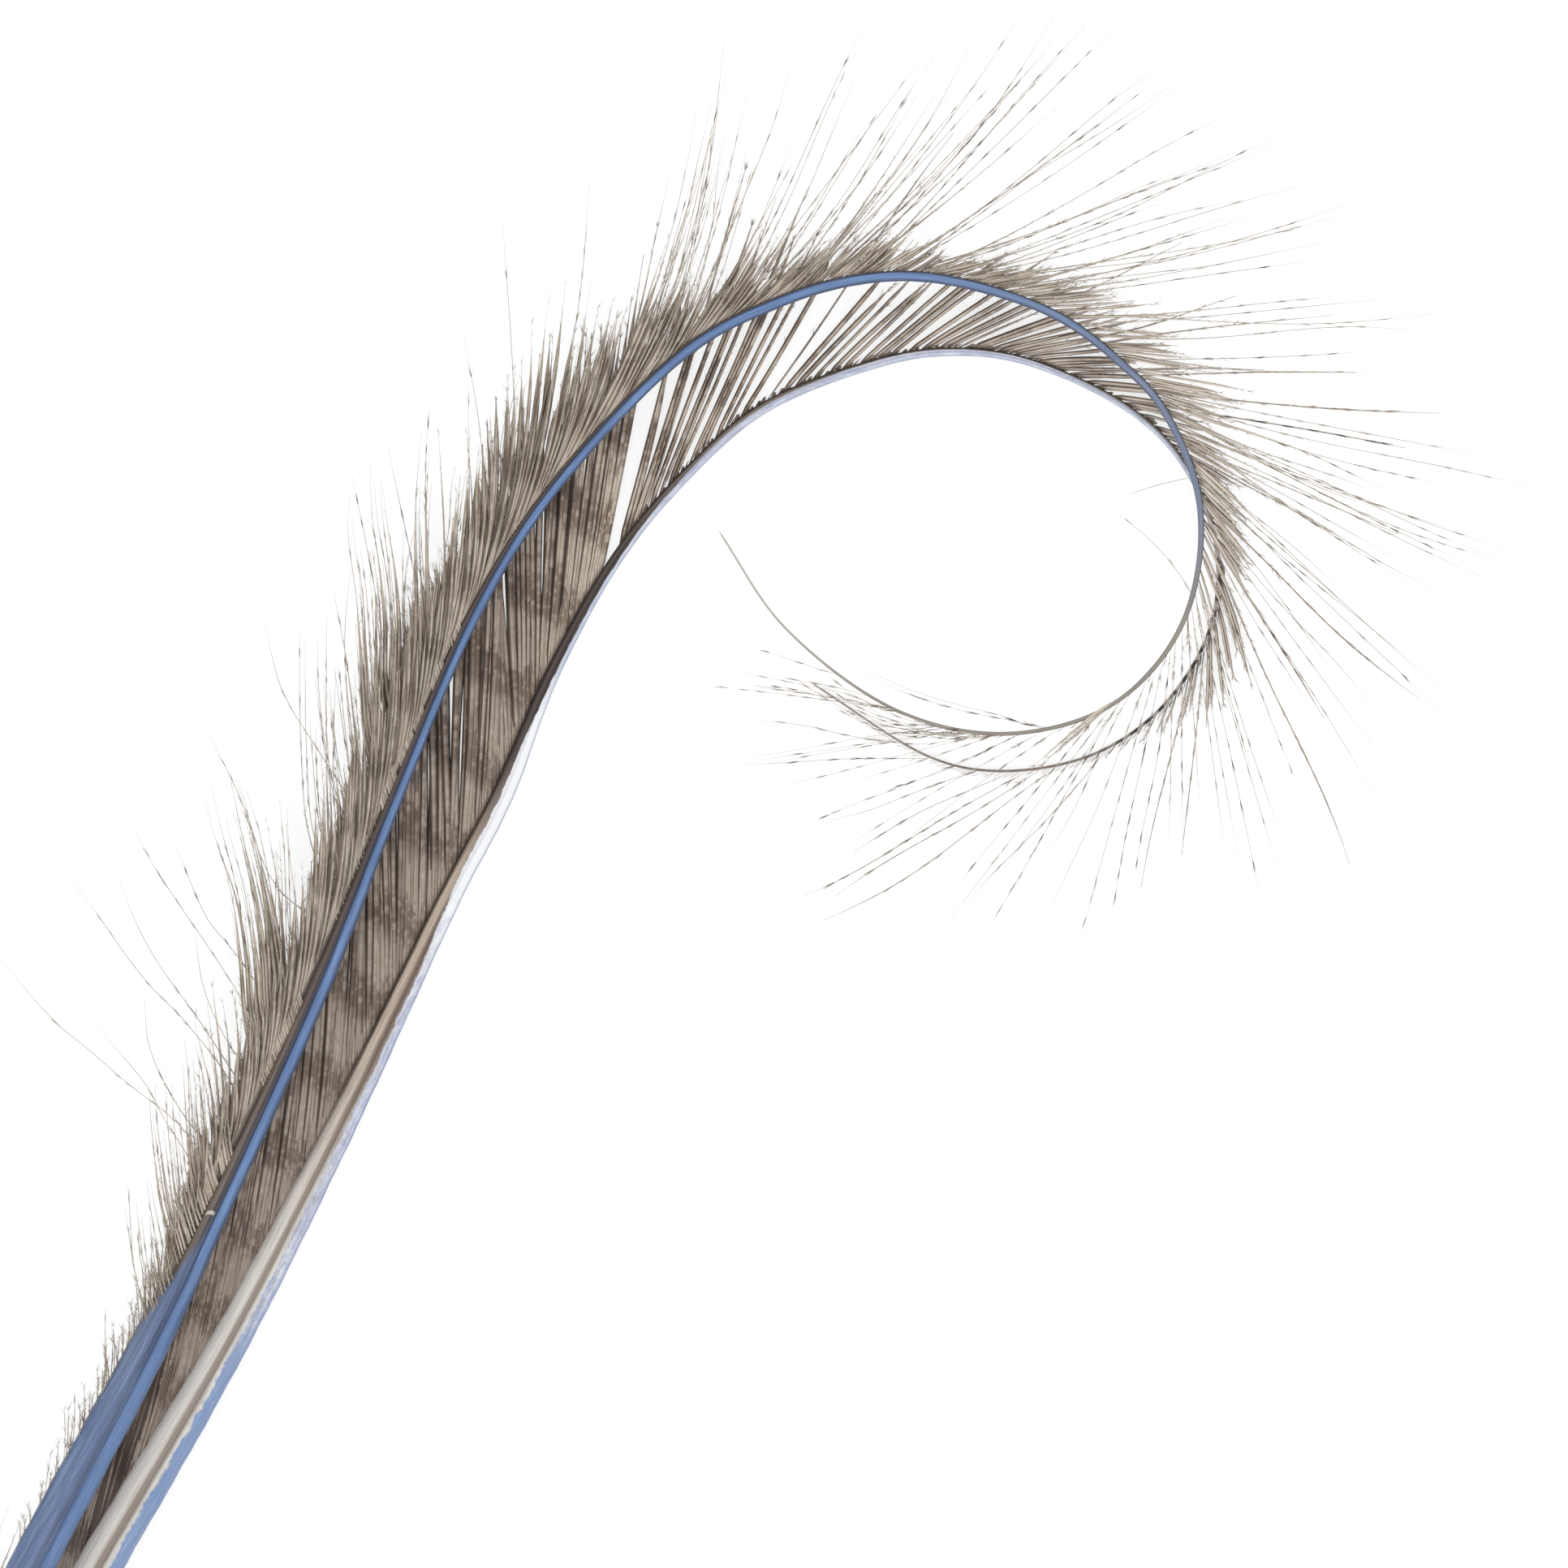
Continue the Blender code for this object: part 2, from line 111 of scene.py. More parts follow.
# Locks that the fire spared: how many barbs, spread at the root and at the tip in mm, width of a
# barb with its web in mm, share that keeps its web, places in the photograph from root to tip.
STEM_TUFTS = [
    (12, 2.4, 3.0, 0.42, 0.62,
     [(345, 1325), (322, 1250), (317, 1180), (308, 1100), (292, 1030), (278, 960)]),
    (9, 1.6, 1.6, 0.42, 0.6,
     [(362, 1290), (345, 1215), (337, 1150), (325, 1080), (312, 1020), (292, 960)]),
    (5, 0.8, 1.4, 0.3, 0.4,
     [(376, 1262), (361, 1195), (356, 1130), (354, 1040), (352, 950)]),
    (9, 1.8, 1.6, 0.34, 0.6,
     [(266, 1492), (254, 1440), (249, 1390), (246, 1320), (240, 1260)]),
    (7, 1.2, 1.8, 0.3, 0.6,
     [(286, 1448), (275, 1390), (270, 1335), (262, 1290), (250, 1240)]),
    (10, 2.6, 3.0, 0.26, 0.5,
     [(240, 1545), (224, 1475), (218, 1415), (214, 1360), (214, 1300)]),
    (9, 3.0, 3.0, 0.14, 0.4,
     [(205, 1620), (190, 1560), (184, 1500), (180, 1440)]),
    (10, 1.8, 1.6, 0.42, 0.62,
     [(484, 988), (464, 900), (459, 820), (455, 735), (446, 650), (452, 590)]),
    (12, 1.6, 1.4, 0.42, 0.62,
     [(507, 938), (484, 850), (483, 770), (478, 700), (471, 640), (469, 560)]),
    (7, 1.0, 0.8, 0.36, 0.6,
     [(521, 900), (508, 830), (505, 760), (508, 690), (514, 620)]),
    (8, 1.4, 1.0, 0.34, 0.55,
     [(541, 848), (527, 780), (524, 710), (523, 640), (527, 565), (536, 500)]),
    (6, 1.0, 0.8, 0.32, 0.45,
     [(566, 794), (555, 735), (558, 690), (566, 650), (570, 600), (580, 540)]),
    (5, 1.0, 1.4, 0.26, 0.35,
     [(640, 660), (622, 610), (628, 560), (640, 500), (655, 440)]),
    (8, 2.6, 4.0, 0.1, 0.3,
     [(455, 1060), (430, 960), (419, 870), (416, 790), (420, 700)]),
    (6, 2.4, 3.0, 0.1, 0.3,
     [(430, 1120), (400, 1020), (395, 920), (396, 820), (398, 720)]),
    (8, 3.0, 3.6, 0.2, 0.8,
     [(-60, 2120), (-42, 2020), (-22, 1940), (2, 1880), (18, 1835)]),
]
TIP_TUFTS = [
    (5, 0.3, 0.6, 0.16, 0.85,
     [(1392, 852), (1350, 880), (1300, 925), (1250, 970)]),
    (4, 0.8, 1.6, 0.07, 0.2,
     [(1236, 901), (1180, 905), (1110, 890), (1050, 860), (1000, 820)]),
    (4, 0.8, 1.8, 0.07, 0.2,
     [(1200, 899), (1140, 908), (1080, 898), (1010, 860)]),
    (4, 0.8, 1.4, 0.07, 0.2,
     [(1157, 894), (1110, 897), (1060, 882), (1000, 848), (968, 826)]),
    (3, 0.5, 1.4, 0.06, 0.1,
     [(1110, 872), (1050, 862), (1000, 852), (900, 836), (850, 830)]),
    (2, 0.2, 0.6, 0.05, 0.1,
     [(1290, 893), (1240, 884), (1180, 871), (1110, 848), (1040, 812)]),
]
BACK_BURN = [
    (22, 12, 0.0, 0.0, 0.56), (42, 13, 0.0, 0.0, 0.56), (56, 17, 0.0, 0.0, 0.56),
    (84, 22.5, 0.0, 0.0, 0.56), (100, 25.5, 0.01, 0.0, 0.54), (114, 26, 0.02, 0.0, 0.54),
    (126, 24.5, 0.04, 0.02, 0.5), (136, 21.5, 0.08, 0.2, 0.4), (142, 18.5, 0.14, 0.54, 0.34),
    (156, 15, 0.2, 0.64, 0.33), (163, 12.5, 0.24, 0.52, 0.36), (170, 10.5, 0.26, 0.32, 0.4),
    (180, 7.5, 0.26, 0.3, 0.36), (188, 5.5, 0.28, 0.35, 0.3), (195, 4.5, 0.34, 0.4, 0.26),
    (202, 5.5, 0.3, 0.4, 0.24), (208, 5.0, 0.3, 0.45, 0.24), (214, 2.2, 0.4, 0.6, 0.14),
    (220, 1.0, 0.5, 0.7, 0.1), (232, 0.8, 0.6, 0.8, 0.08), (250, 0.8, 0.5, 0.9, 0.08),
]
# How steeply a barb leaves the rachis, as a share of its mean angle, mm along.
FRONT_LEAVE = [(60, 0.4), (130, 0.3), (150, 0.5), (168, 0.9), (256, 1.05)]
BACK_LEAVE = [(30, 0.95), (125, 0.95), (150, 1.05), (250, 1.1)]
# Loose threads that curve away from the rest, from root to tip, in pixels of the photograph.
STEM_STRAYS = [
    [(272, 1476), (235, 1393), (158, 1326), (123, 1294), (83, 1261), (49, 1224), (6, 1171)],
    [(308, 1398), (290, 1332), (230, 1251), (195, 1217), (161, 1177), (115, 1111), (95, 1085)],
    [(342, 1322), (309, 1240), (276, 1185), (227, 1116), (195, 1068), (172, 1019)],
    [(320, 1370), (258, 1271), (244, 1249), (210, 1194), (184, 1139), (161, 1079)],
    [(360, 1285), (330, 1225), (290, 1165), (264, 1134), (241, 1088), (222, 1045)],
    [(262, 1492), (240, 1430), (207, 1375), (187, 1335), (161, 1300), (129, 1260)],
    [(333, 1342), (290, 1290), (255, 1214), (247, 1151)],
    [(290, 1440), (230, 1370), (192, 1289), (187, 1226)],
    [(420, 1150), (344, 1093), (310, 1022), (298, 981), (268, 900)],
    [(470, 1040), (400, 930), (352, 850), (330, 770)],
]
CROOK_STRAYS = [
    [(1468, 736), (1450, 706), (1415, 666), (1375, 632)],
    [(1466, 590), (1440, 595), (1410, 604), (1385, 613)],
]


def rgb(r, g, b):
    """The surface that shows as this 0 to 255 colour in the bright room, as linear light."""
    def line(c):
        c /= 255
        return (c / 12.92 if c <= 0.04045 else ((c + 0.055) / 1.055) ** 2.4) / ROOM_GAIN
    return (line(r), line(g), line(b), 1.0)


def plan(u, v):
    """Plan millimetres of a place in the photograph."""
    return ((u - PLAN_PIXEL[0]) * PIXEL, (PLAN_PIXEL[1] - v) * PIXEL)


def read(table, at, column=1):
    """The column of a table at these places along the rachis."""
    return np.interp(at, [row[0] for row in table], [row[column] for row in table])


def smooth(share):
    return share * share * (3 - 2 * share)


# Shader maths

class Wire:
    """A socket in a finish, so that sums of sockets and numbers read as sums."""

    def __init__(self, finish, socket):
        self.finish, self.socket = finish, socket

    def sum(self, kind, other):
        return self.finish.node("ShaderNodeMath", {"operation": kind}, (self, other))

    def __add__(self, other):
        return self.sum("ADD", other)

    def __sub__(self, other):
        return self.sum("SUBTRACT", other)

    def __mul__(self, other):
        return self.sum("MULTIPLY", other)

    def __truediv__(self, other):
        return self.sum("DIVIDE", other)

    def __rsub__(self, other):
        return self.finish.node("ShaderNodeMath", {"operation": "SUBTRACT"}, (other, self))

    __radd__ = __add__


class Finish:
    """One material, built node by node."""

    def __init__(self, name, rough=0.5, **constants):
        self.material = bpy.data.materials.new(name)
        self.material.use_nodes = True
        self.tree = self.material.node_tree
        self.shader = self.tree.nodes["Principled BSDF"]
        self.shader.inputs["Roughness"].default_value = rough
        for key, value in constants.items():
            self.shader.inputs[key.replace("_", " ")].default_value = value

    def node(self, kind, settings=None, values=(), out=0):
        made = self.tree.nodes.new(kind)
        for key, value in (settings or {}).items():
            if key == "stops":
                ramp = made.color_ramp.elements
                while len(ramp) < len(value):
                    ramp.new(0.5)
                for element, (at, colour) in zip(ramp, value):
                    element.position, element.color = at, colour
            else:
                setattr(made, key, value)
        pairs = values.items() if isinstance(values, dict) else enumerate(values)
        for key, value in pairs:
            if isinstance(value, Wire):
                self.tree.links.new(value.socket, made.inputs[key])
            else:
                made.inputs[key].default_value = value
        return Wire(self, made.outputs[out])

    def mark(self, name):
        """The three numbers that the mesh keeps at each point under this name."""
        vector = self.node("ShaderNodeAttribute", {"attribute_name": name}, (), "Vector")
        return tuple(self.node("ShaderNodeSeparateXYZ", None, (vector,), i) for i in range(3))

    def ease(self, value, low, high, start=0.0, end=1.0):
        return self.node("ShaderNodeMapRange", {"interpolation_type": "SMOOTHSTEP"},
                         {0: value, 1: low, 2: high, 3: start, 4: end})

    def mix(self, share, first, second):
        return self.node("ShaderNodeMix", {"data_type": "RGBA"}, {0: share, 6: first, 7: second},
                         "Result")

    def triple(self, x, y, z):
        return self.node("ShaderNodeCombineXYZ", None, (x, y, z))

    def noise(self, vector, scale, detail=2.0, rough=0.5):
        return self.node("ShaderNodeTexNoise", None,
                         {"Vector": vector, "Scale": scale, "Detail": detail, "Roughness": rough})

    def ramp(self, value, *stops):
        return self.node("ShaderNodeValToRGB", {"stops": stops}, (value,))

    def wear(self, colour, rough=None, height=None, depth=0.0001, strength=0.4):
        links = self.tree.links
        links.new(colour.socket, self.shader.inputs["Base Color"])
        if rough is not None:
            links.new(rough.socket, self.shader.inputs["Roughness"])
        if height is not None:
            bump = self.node("ShaderNodeBump", None,
                             {"Height": height, "Distance": depth, "Strength": strength})
            links.new(bump.socket, self.shader.inputs["Normal"])
        return self.material


def front_rachis_finish():
    """Bright blue ridge on the inner edge, slate blue flank that turns brown up the stem, with painted
    shade in the section's hollows and along its edges.
    """
    f = Finish("front_rachis_horn", 0.42)
    along, across, up = f.mark("place")
    streaks = f.noise(f.triple(along * 0.22, across * 26.0, up * 9.0), 1.0, 4.0, 0.6)
    fine = f.noise(f.triple(along * 1.3, across * 60.0, up * 20.0), 1.0, 2.0)
    cloudy = f.noise(f.triple(along * 0.09, across * 3.0, up * 2.0), 1.0, 3.0)
    blue = f.ramp(streaks * 0.7 + cloudy * 0.3, (0.34, rgb(62, 90, 138)), (0.5, rgb(88, 120, 168)),
                  (0.64, rgb(116, 148, 196)))
    dim = f.ramp(streaks, (0.3, rgb(92, 104, 132)), (0.7, rgb(122, 134, 156)))
    horn = f.ramp(streaks, (0.3, rgb(112, 104, 96)), (0.7, rgb(166, 158, 146)))
    horn = f.mix(f.ease(along, 244, 268), horn, rgb(194, 188, 178))
    blue = f.mix(f.ease(along, 70, 52) * 0.35, blue, rgb(78, 106, 150))
    ridge = f.mix(f.ease(along, 170, 205), blue, dim)
    ridge = f.mix(f.ease(along, 206, 222), ridge, horn)
    slate = f.ramp(streaks * 0.6 + cloudy * 0.4, (0.36, rgb(60, 80, 122)),
                   (0.5, rgb(84, 106, 146)), (0.62, rgb(112, 132, 166)))
    smoke = f.ease(along, 45, 62) * f.ease(across, 0.0, 0.4) * 0.5
    slate = f.mix(smoke, slate, rgb(86, 90, 106))
    brown = f.ramp(streaks, (0.28, rgb(66, 54, 48)), (0.5, rgb(104, 90, 80)),
                   (0.72, rgb(140, 126, 112)))
    brown = f.mix(f.ease(along, 84, 98) * 0.45, brown, rgb(66, 54, 50))
    turn = f.ease(along + across * 16.0 + cloudy * 2.0, 65.2, 68.6)
    flank = f.mix(turn, slate, brown)
    # painted shade: a near black line in the crease of the outer flank
    crease_shade = f.ease(across, 0.20, 0.27) * f.ease(across, 0.36, 0.29) * turn
    flank = f.mix(crease_shade * 0.85, flank, rgb(50, 40, 34))
    lip = f.ease(across, 0.34, 0.42) * turn
    flank = f.mix(lip * 0.6, flank, rgb(158, 146, 130))
    # painted shade: the hollow between the ridge and the flank is darkened
    groove = f.ease(across, -0.13, -0.06) * f.ease(across, 0.08, 0.0)
    flank = f.mix(groove * (0.3 + turn * 0.5), flank, rgb(52, 46, 60))
    colour = f.mix(f.ease(across, -0.16, -0.09), ridge, flank)
    # painted shade: the lower part of the outer edge is darkened
    edge = f.ease(across, 0.43, 0.5) * f.ease(up, 0.7, 0.3)
    colour = f.mix(edge * 0.6, colour, rgb(62, 54, 52))
    ridge_low = f.ease(along, 64, 50)
    # painted shade: dark lines along the ridge's inner rim and along its foot
    rim = f.ease(across, -0.37, -0.46) * f.ease(along, 215, 190) * (1.0 - ridge_low)
    foot = f.ease(across, -0.21, -0.16) * f.ease(across, -0.08, -0.12) * f.ease(along, 215, 190) \
        * (1.0 - ridge_low * 0.6)
    colour = f.mix((rim + foot) * 0.65, colour, rgb(50, 56, 80))
    bow = along + across * across * 9.0
    nick = f.ease(bow, 68.3, 68.4) * f.ease(bow, 68.75, 68.65) * f.ease(across, -0.1, -0.05) \
        * f.ease(across, 0.22, 0.14)
    colour = f.mix(nick * 0.85, colour, rgb(206, 200, 194))
    cut = f.ease(along, 0.12, 0.02)
    colour = f.mix(cut, colour, rgb(206, 198, 184))
    return f.wear(colour, 0.36 + fine * 0.22, streaks * 0.7 + fine * 0.3, 0.00006, 0.45)


def back_rachis_finish():
    """Cream quill with a brown groove, tan then near black up the curl, pale blue inner edge, and
    painted shade along its outer edge.
    """
    f = Finish("back_rachis_horn", 0.45)
    along, across, up = f.mark("place")
    streaks = f.noise(f.triple(along * 0.2, across * 24.0, up * 9.0), 1.0, 4.0, 0.6)
    fine = f.noise(f.triple(along * 1.2, across * 60.0, up * 20.0), 1.0, 2.0)
    stain = f.noise(f.triple(along * 0.45, across * 5.0, up * 3.0), 1.0, 4.0, 0.65)
    fray = f.noise(f.triple(along * 0.8, across * 2.0, up), 1.0, 3.0, 0.7)
    cream = f.ramp(streaks, (0.28, rgb(186, 180, 172)), (0.5, rgb(212, 207, 200)),
                   (0.74, rgb(226, 223, 218)))
    tan = f.ramp(streaks, (0.3, rgb(140, 121, 104)), (0.55, rgb(186, 168, 151)),
                 (0.75, rgb(212, 198, 183)))
    dark = f.ramp(streaks, (0.3, rgb(34, 24, 20)), (0.7, rgb(70, 56, 47)))
    brown = f.ramp(streaks, (0.3, rgb(78, 66, 58)), (0.7, rgb(134, 120, 110)))
    body = f.mix(f.ease(along, 62, 92), cream, tan)
    body = f.mix(f.ease(along, 99, 115), body, dark)
    body = f.mix(f.ease(along, 132, 148) * f.ease(across, 0.36, 0.2), body, brown)
    groove = f.ease(across + stain * 0.05, -0.12, 0.0) * f.ease(across + stain * 0.05, 0.2, 0.04)
    young = f.ease(along, 112, 96)
    body = f.mix(groove * young * 0.85, body, rgb(138, 122, 108))
    crack = f.ease(across + stain * 0.1, -0.3, -0.16) * f.ease(across + stain * 0.1, 0.12, 0.02) \
        * f.ease(along + fray * 8.0, 72, 92) * young
    body = f.mix(crack * 0.8, body, rgb(104, 86, 73))
    spots = f.ease(stain, 0.58, 0.68) * f.ease(across, -0.05, -0.2) * young
    body = f.mix(spots * 0.45, body, rgb(150, 138, 132))
    # painted shade: a near black line along the outer edge, where the quill stands proud of its barbs
    outer_edge_shade = f.ease(across, 0.33, 0.42) * f.ease(along, 66, 88)
    body = f.mix(outer_edge_shade * 0.9, body, rgb(46, 36, 30))
    sky = f.ramp(streaks, (0.3, rgb(104, 132, 174)), (0.55, rgb(124, 148, 188)),
                 (0.75, rgb(168, 184, 212)))
    lilac = f.ramp(streaks * 0.6 + fray * 0.4, (0.36, rgb(150, 156, 184)), (0.5, rgb(190, 196, 214)),
                   (0.64, rgb(226, 230, 240)))
    inner = f.mix(f.ease(along + fray * 10.0, 58, 72), sky, lilac)
    bare = f.ease(along + fray * 14.0, 96, 108) * f.ease(along + fray * 8.0, 128, 120)
    inner = f.mix(bare * 0.9, inner, rgb(246, 247, 250))
    rim = f.ease(across, -0.42, -0.48)
    inner = f.mix(rim * 0.7, inner, rgb(122, 142, 190))
    crumb = f.noise(f.triple(along * 1.5, across * 13.0, up * 3.0), 1.0, 3.0, 0.6)
    zone = f.ease(across, -0.42, -0.34) * f.ease(across, -0.04, -0.14) * f.ease(along, 50, 62) \
        * f.ease(along, 98, 90)
    inner = f.mix(f.ease(crumb, 0.5, 0.62) * zone * 0.5, inner, rgb(164, 148, 137))
    shift = f.ease(along, 92, 104) * f.ease(along, 122, 113) * 0.26 \
        + f.ease(along, 131, 146) * 0.26 + f.ease(along, 150, 164) * f.ease(along, 190, 172) * 0.14
    share = f.ease(across - shift + (fray - 0.5) * 0.24, -0.16, -0.24)
    colour = f.mix(share, body, inner)
    dash = f.node("ShaderNodeMath", {"operation": "PINGPONG"}, (along + fray * 1.6, 0.78))
    late = f.ease(along, 192, 203)
    segment = f.ramp(dash / 0.78, (0.4, rgb(44, 34, 28)), (0.62, rgb(182, 172, 162)))
    faint = f.mix(f.ease(along, 216, 224) * 0.85, segment, rgb(150, 139, 127))
    faint = f.mix(f.ease(along, 232, 244) * 0.7, faint, rgb(176, 168, 158))
    colour = f.mix(late, colour, faint)
    cut = f.ease(along, 0.12, 0.02)
    colour = f.mix(cut, colour, rgb(210, 202, 188))
    return f.wear(colour, 0.36 + fine * 0.22, streaks * 0.7 + fine * 0.3, 0.00006, 0.35)


def barb_finish(name, tint, dark, light, pale, bar, spots, depth):
    """Barbs with a dark ramus along one edge, a lighter web beside it, and bars across the vane.

    bar is the bars' spacing in mm, spots the strength of the dark spots, and depth how much
    darker the webs are over the stem and at their roots, and paler over the crest. The dark at the
    roots is painted shade where the barbs crowd at the rachis, and the char of the burnt stubs.
    """
    f = Finish(name, 0.7)
    at, soft, chance = f.mark("barb")
    edge, out, reach = f.mark("blade")
    mottle = f.noise(f.triple(at * 0.5, out * 0.32, chance * 1.2), 1.0, 3.0, 0.6)
    speck = f.noise(f.triple(at * 2.6, out * 1.3, chance * 40.0), 1.0, 2.0)
    blot = f.noise(f.triple(at * 0.75 + 30.0, out * 0.42, chance * 1.6), 1.0, 2.0, 0.5)
    stripes = f.node("ShaderNodeMath", {"operation": "PINGPONG"},
                     (at + out * 0.9 + mottle * 5.0, bar / 2)) / (bar / 2)
    band = f.ease(stripes * 0.5 + mottle * 0.5, 0.36, 0.58)
    web = f.mix(band, tint, light)
    web = f.mix(f.ease(speck, 0.45, 0.7) * 0.5, web, pale)
    spot = f.ease(blot, 0.5, 0.62) * f.ease(reach, 0.25, 0.6) * spots
    web = f.mix(spot, web, dark)
    web = f.mix(f.ease(chance, 0.55, 1.0) * 0.3, web, dark)
    web = f.mix(f.ease(at, 134, 112) * depth, web, dark)
    web = f.mix(f.ease(at, 146, 166) * depth, web, pale)
    web = f.mix(f.ease(at, 176, 190) * 0.7, web, pale)
    # darker roots: painted shade where the barbs crowd at the rachis, and the char of the back
    # feather's burnt stubs
    web = f.mix(f.ease(out, 1.6, 0.3) * (0.45 + depth), web, dark)
    paler = band * 0.4 + f.ease(reach, 0.5, 1.1) * 0.45 + f.ease(at, 152, 180) * 0.35
    ramus = f.mix(paler, dark, tint)
    colour = f.mix(f.ease(edge, 0.28, 0.42), ramus, web)
    thread = f.mix(f.ease(speck, 0.35, 0.65), tint, light)
    thread = f.mix(f.ease(at, 220, 240) * 0.6, thread, pale)
    colour = f.mix(soft, thread, colour)
    colour = f.mix(f.ease(edge, 1.3, 1.7), colour, f.mix(f.ease(chance, 0.1, 0.8), dark, light))
    return f.wear(colour, 0.6 + speck * 0.25, speck, 0.00004, 0.3)


def thread_finish():
    """Brown waxed cotton with a fine twist, its grooves darkened with painted shade."""
    f = Finish("waxed_cotton_thread", 0.8)
    along, around, up = f.mark("place")
    twist = f.node("ShaderNodeMath", {"operation": "SINE"}, (along * 7.0 + around * 6.2832,))
    fuzz = f.noise(f.triple(along * 3.0, around * 5.0, up), 1.0, 3.0)
    # painted shade: the colour darkens where the twist's bump is low, in the grooves between the plies
    colour = f.ramp(twist * 0.25 + 0.5 + fuzz * 0.3, (0.3, rgb(58, 46, 38)),
                    (0.6, rgb(104, 86, 70)), (0.95, rgb(146, 126, 104)))
    return f.wear(colour, 0.7 + fuzz * 0.2, twist * 0.5 + fuzz * 0.5, 0.00012, 0.8)


def table_finish():
    """White card that glows with its own emission, a painted light as bright as the white background,
    which fills in the shade that the feather casts on it.
    """
    # painted light: the card's emission is a glow, not a lamp
    f = Finish("glowing_white_card", 0.9, Emission_Color=(1.0, 1.0, 1.0, 1.0), Emission_Strength=0.74)
    grain = f.noise(f.node("ShaderNodeTexCoord", None, (), "Object"), 900.0, 3.0)
    colour = f.ramp(grain, (0.3, rgb(150, 150, 150)), (0.7, rgb(156, 156, 156)))
    return f.wear(colour)


# The shafts

def spline(points, steps):
    """A centripetal curve through the points."""
    run = np.array(points, float)
    run = np.vstack([2 * run[0] - run[1], run, 2 * run[-1] - run[-2]])
    out = []
    for p0, p1, p2, p3 in zip(run, run[1:], run[2:], run[3:]):
        knots = [0.0]
        for a, b in ((p0, p1), (p1, p2), (p2, p3)):
            knots.append(knots[-1] + np.linalg.norm(b - a) ** 0.5)
        t0, t1, t2, t3 = knots
        t = np.linspace(t1, t2, steps, endpoint=False)[:, None]
        a1 = p0 * ((t1 - t) / (t1 - t0)) + p1 * ((t - t0) / (t1 - t0))
        a2 = p1 * ((t2 - t) / (t2 - t1)) + p2 * ((t - t1) / (t2 - t1))
        a3 = p2 * ((t3 - t) / (t3 - t2)) + p3 * ((t - t2) / (t3 - t2))
        b1 = a1 * ((t2 - t) / (t2 - t0)) + a2 * ((t - t0) / (t2 - t0))
        b2 = a2 * ((t3 - t) / (t3 - t1)) + a3 * ((t - t1) / (t3 - t1))
        out.append(b1 * ((t2 - t) / (t2 - t1)) + b2 * ((t - t1) / (t2 - t1)))
    out.append(run[-2:-1])
    return np.vstack(out)


class Shaft:
    """Where a rachis runs: place, direction, outward side, width, underside and height."""

    def __init__(self, line, front):
        points = spline(line, 40)
        step = np.hypot(*np.diff(points[:, :2], axis=0).T)
        self.s = np.r_[0, np.cumsum(step)]
        self.points, self.front, self.total = points, front, self.s[-1]
        ahead = np.gradient(points[:, :2], axis=0)
        self.ahead = ahead / np.linalg.norm(ahead, axis=1)[:, None]

    def at(self, at):
        """Place, direction, outward side and width of the rachis, mm along it."""
        at = np.asarray(at, float)
        place = np.stack([np.interp(at, self.s, self.points[:, i]) for i in (0, 1)], -1)
        ahead = np.stack([np.interp(at, self.s, self.ahead[:, i]) for i in (0, 1)], -1)
        ahead /= np.linalg.norm(ahead, axis=-1, keepdims=True)
        zero = np.zeros_like(at)[..., None]
        place = np.concatenate([place, zero], -1)
        out = np.concatenate([-ahead[..., 1:2], ahead[..., 0:1], zero], -1)
        return place, np.concatenate([ahead, zero], -1), out, np.interp(at, self.s, self.points[:, 2])

    def depth(self, at):
        """Height of its section, which thins less than its width does."""
        width = self.at(at)[3]
        return np.maximum(0.45, np.where(width > 1.2, width * 0.86, 0.55 + 0.4 * width))

    def underside(self, at):
        return read(FRONT_UNDERSIDE if self.front else BACK_UNDERSIDE, at)

    def near(self, x, y):
        """How far along the rachis a place in the plan is."""
        return self.s[np.argmin(np.hypot(self.points[:, 0] - x, self.points[:, 1] - y))]


RIDGE_FOOT = -0.11       # where the ridge meets the flank in the front section
FRONT_RIDGE = [(0, 0.30), (44, 0.34), (84, 0.45), (102, 0.51), (120, 0.54), (140, 0.70),
               (160, 0.86), (172, 0.93), (280, 0.95)]
# How much of its traced width each rachis keeps towards its tip, mm along.
FRONT_THIN = [(215, 1.0), (245, 0.85), (262, 0.6), (280, 0.5)]
BACK_THIN = [(196, 1.0), (208, 0.85), (224, 0.65), (260, 0.5)]
FRONT_SECTION = [
    (-0.24, 0.02), (0.24, 0.02), (0.36, 0.10), (0.46, 0.26), (0.50, 0.42), (0.48, 0.56),
    (0.42, 0.66), (0.35, 0.70), (0.29, 0.66), (0.25, 0.70), (0.16, 0.80), (0.05, 0.84),
    (-0.04, 0.82), (-0.09, 0.78), (-0.13, 0.86), (-0.18, 0.97), (-0.27, 1.01), (-0.36, 0.99),
    (-0.43, 0.90), (-0.48, 0.72), (-0.50, 0.5), (-0.47, 0.28), (-0.36, 0.10),
]
BACK_SECTION = [
    (-0.24, 0.0), (0.24, 0.0), (0.37, 0.09), (0.47, 0.26), (0.50, 0.44), (0.48, 0.66),
    (0.42, 0.82), (0.33, 0.93), (0.20, 0.99), (0.10, 0.97), (0.045, 0.90), (0.0, 0.86),
    (-0.05, 0.91), (-0.11, 0.97), (-0.19, 0.985), (-0.27, 0.94), (-0.32, 0.89), (-0.38, 0.86),
    (-0.45, 0.74), (-0.50, 0.52), (-0.47, 0.28), (-0.37, 0.09),
]


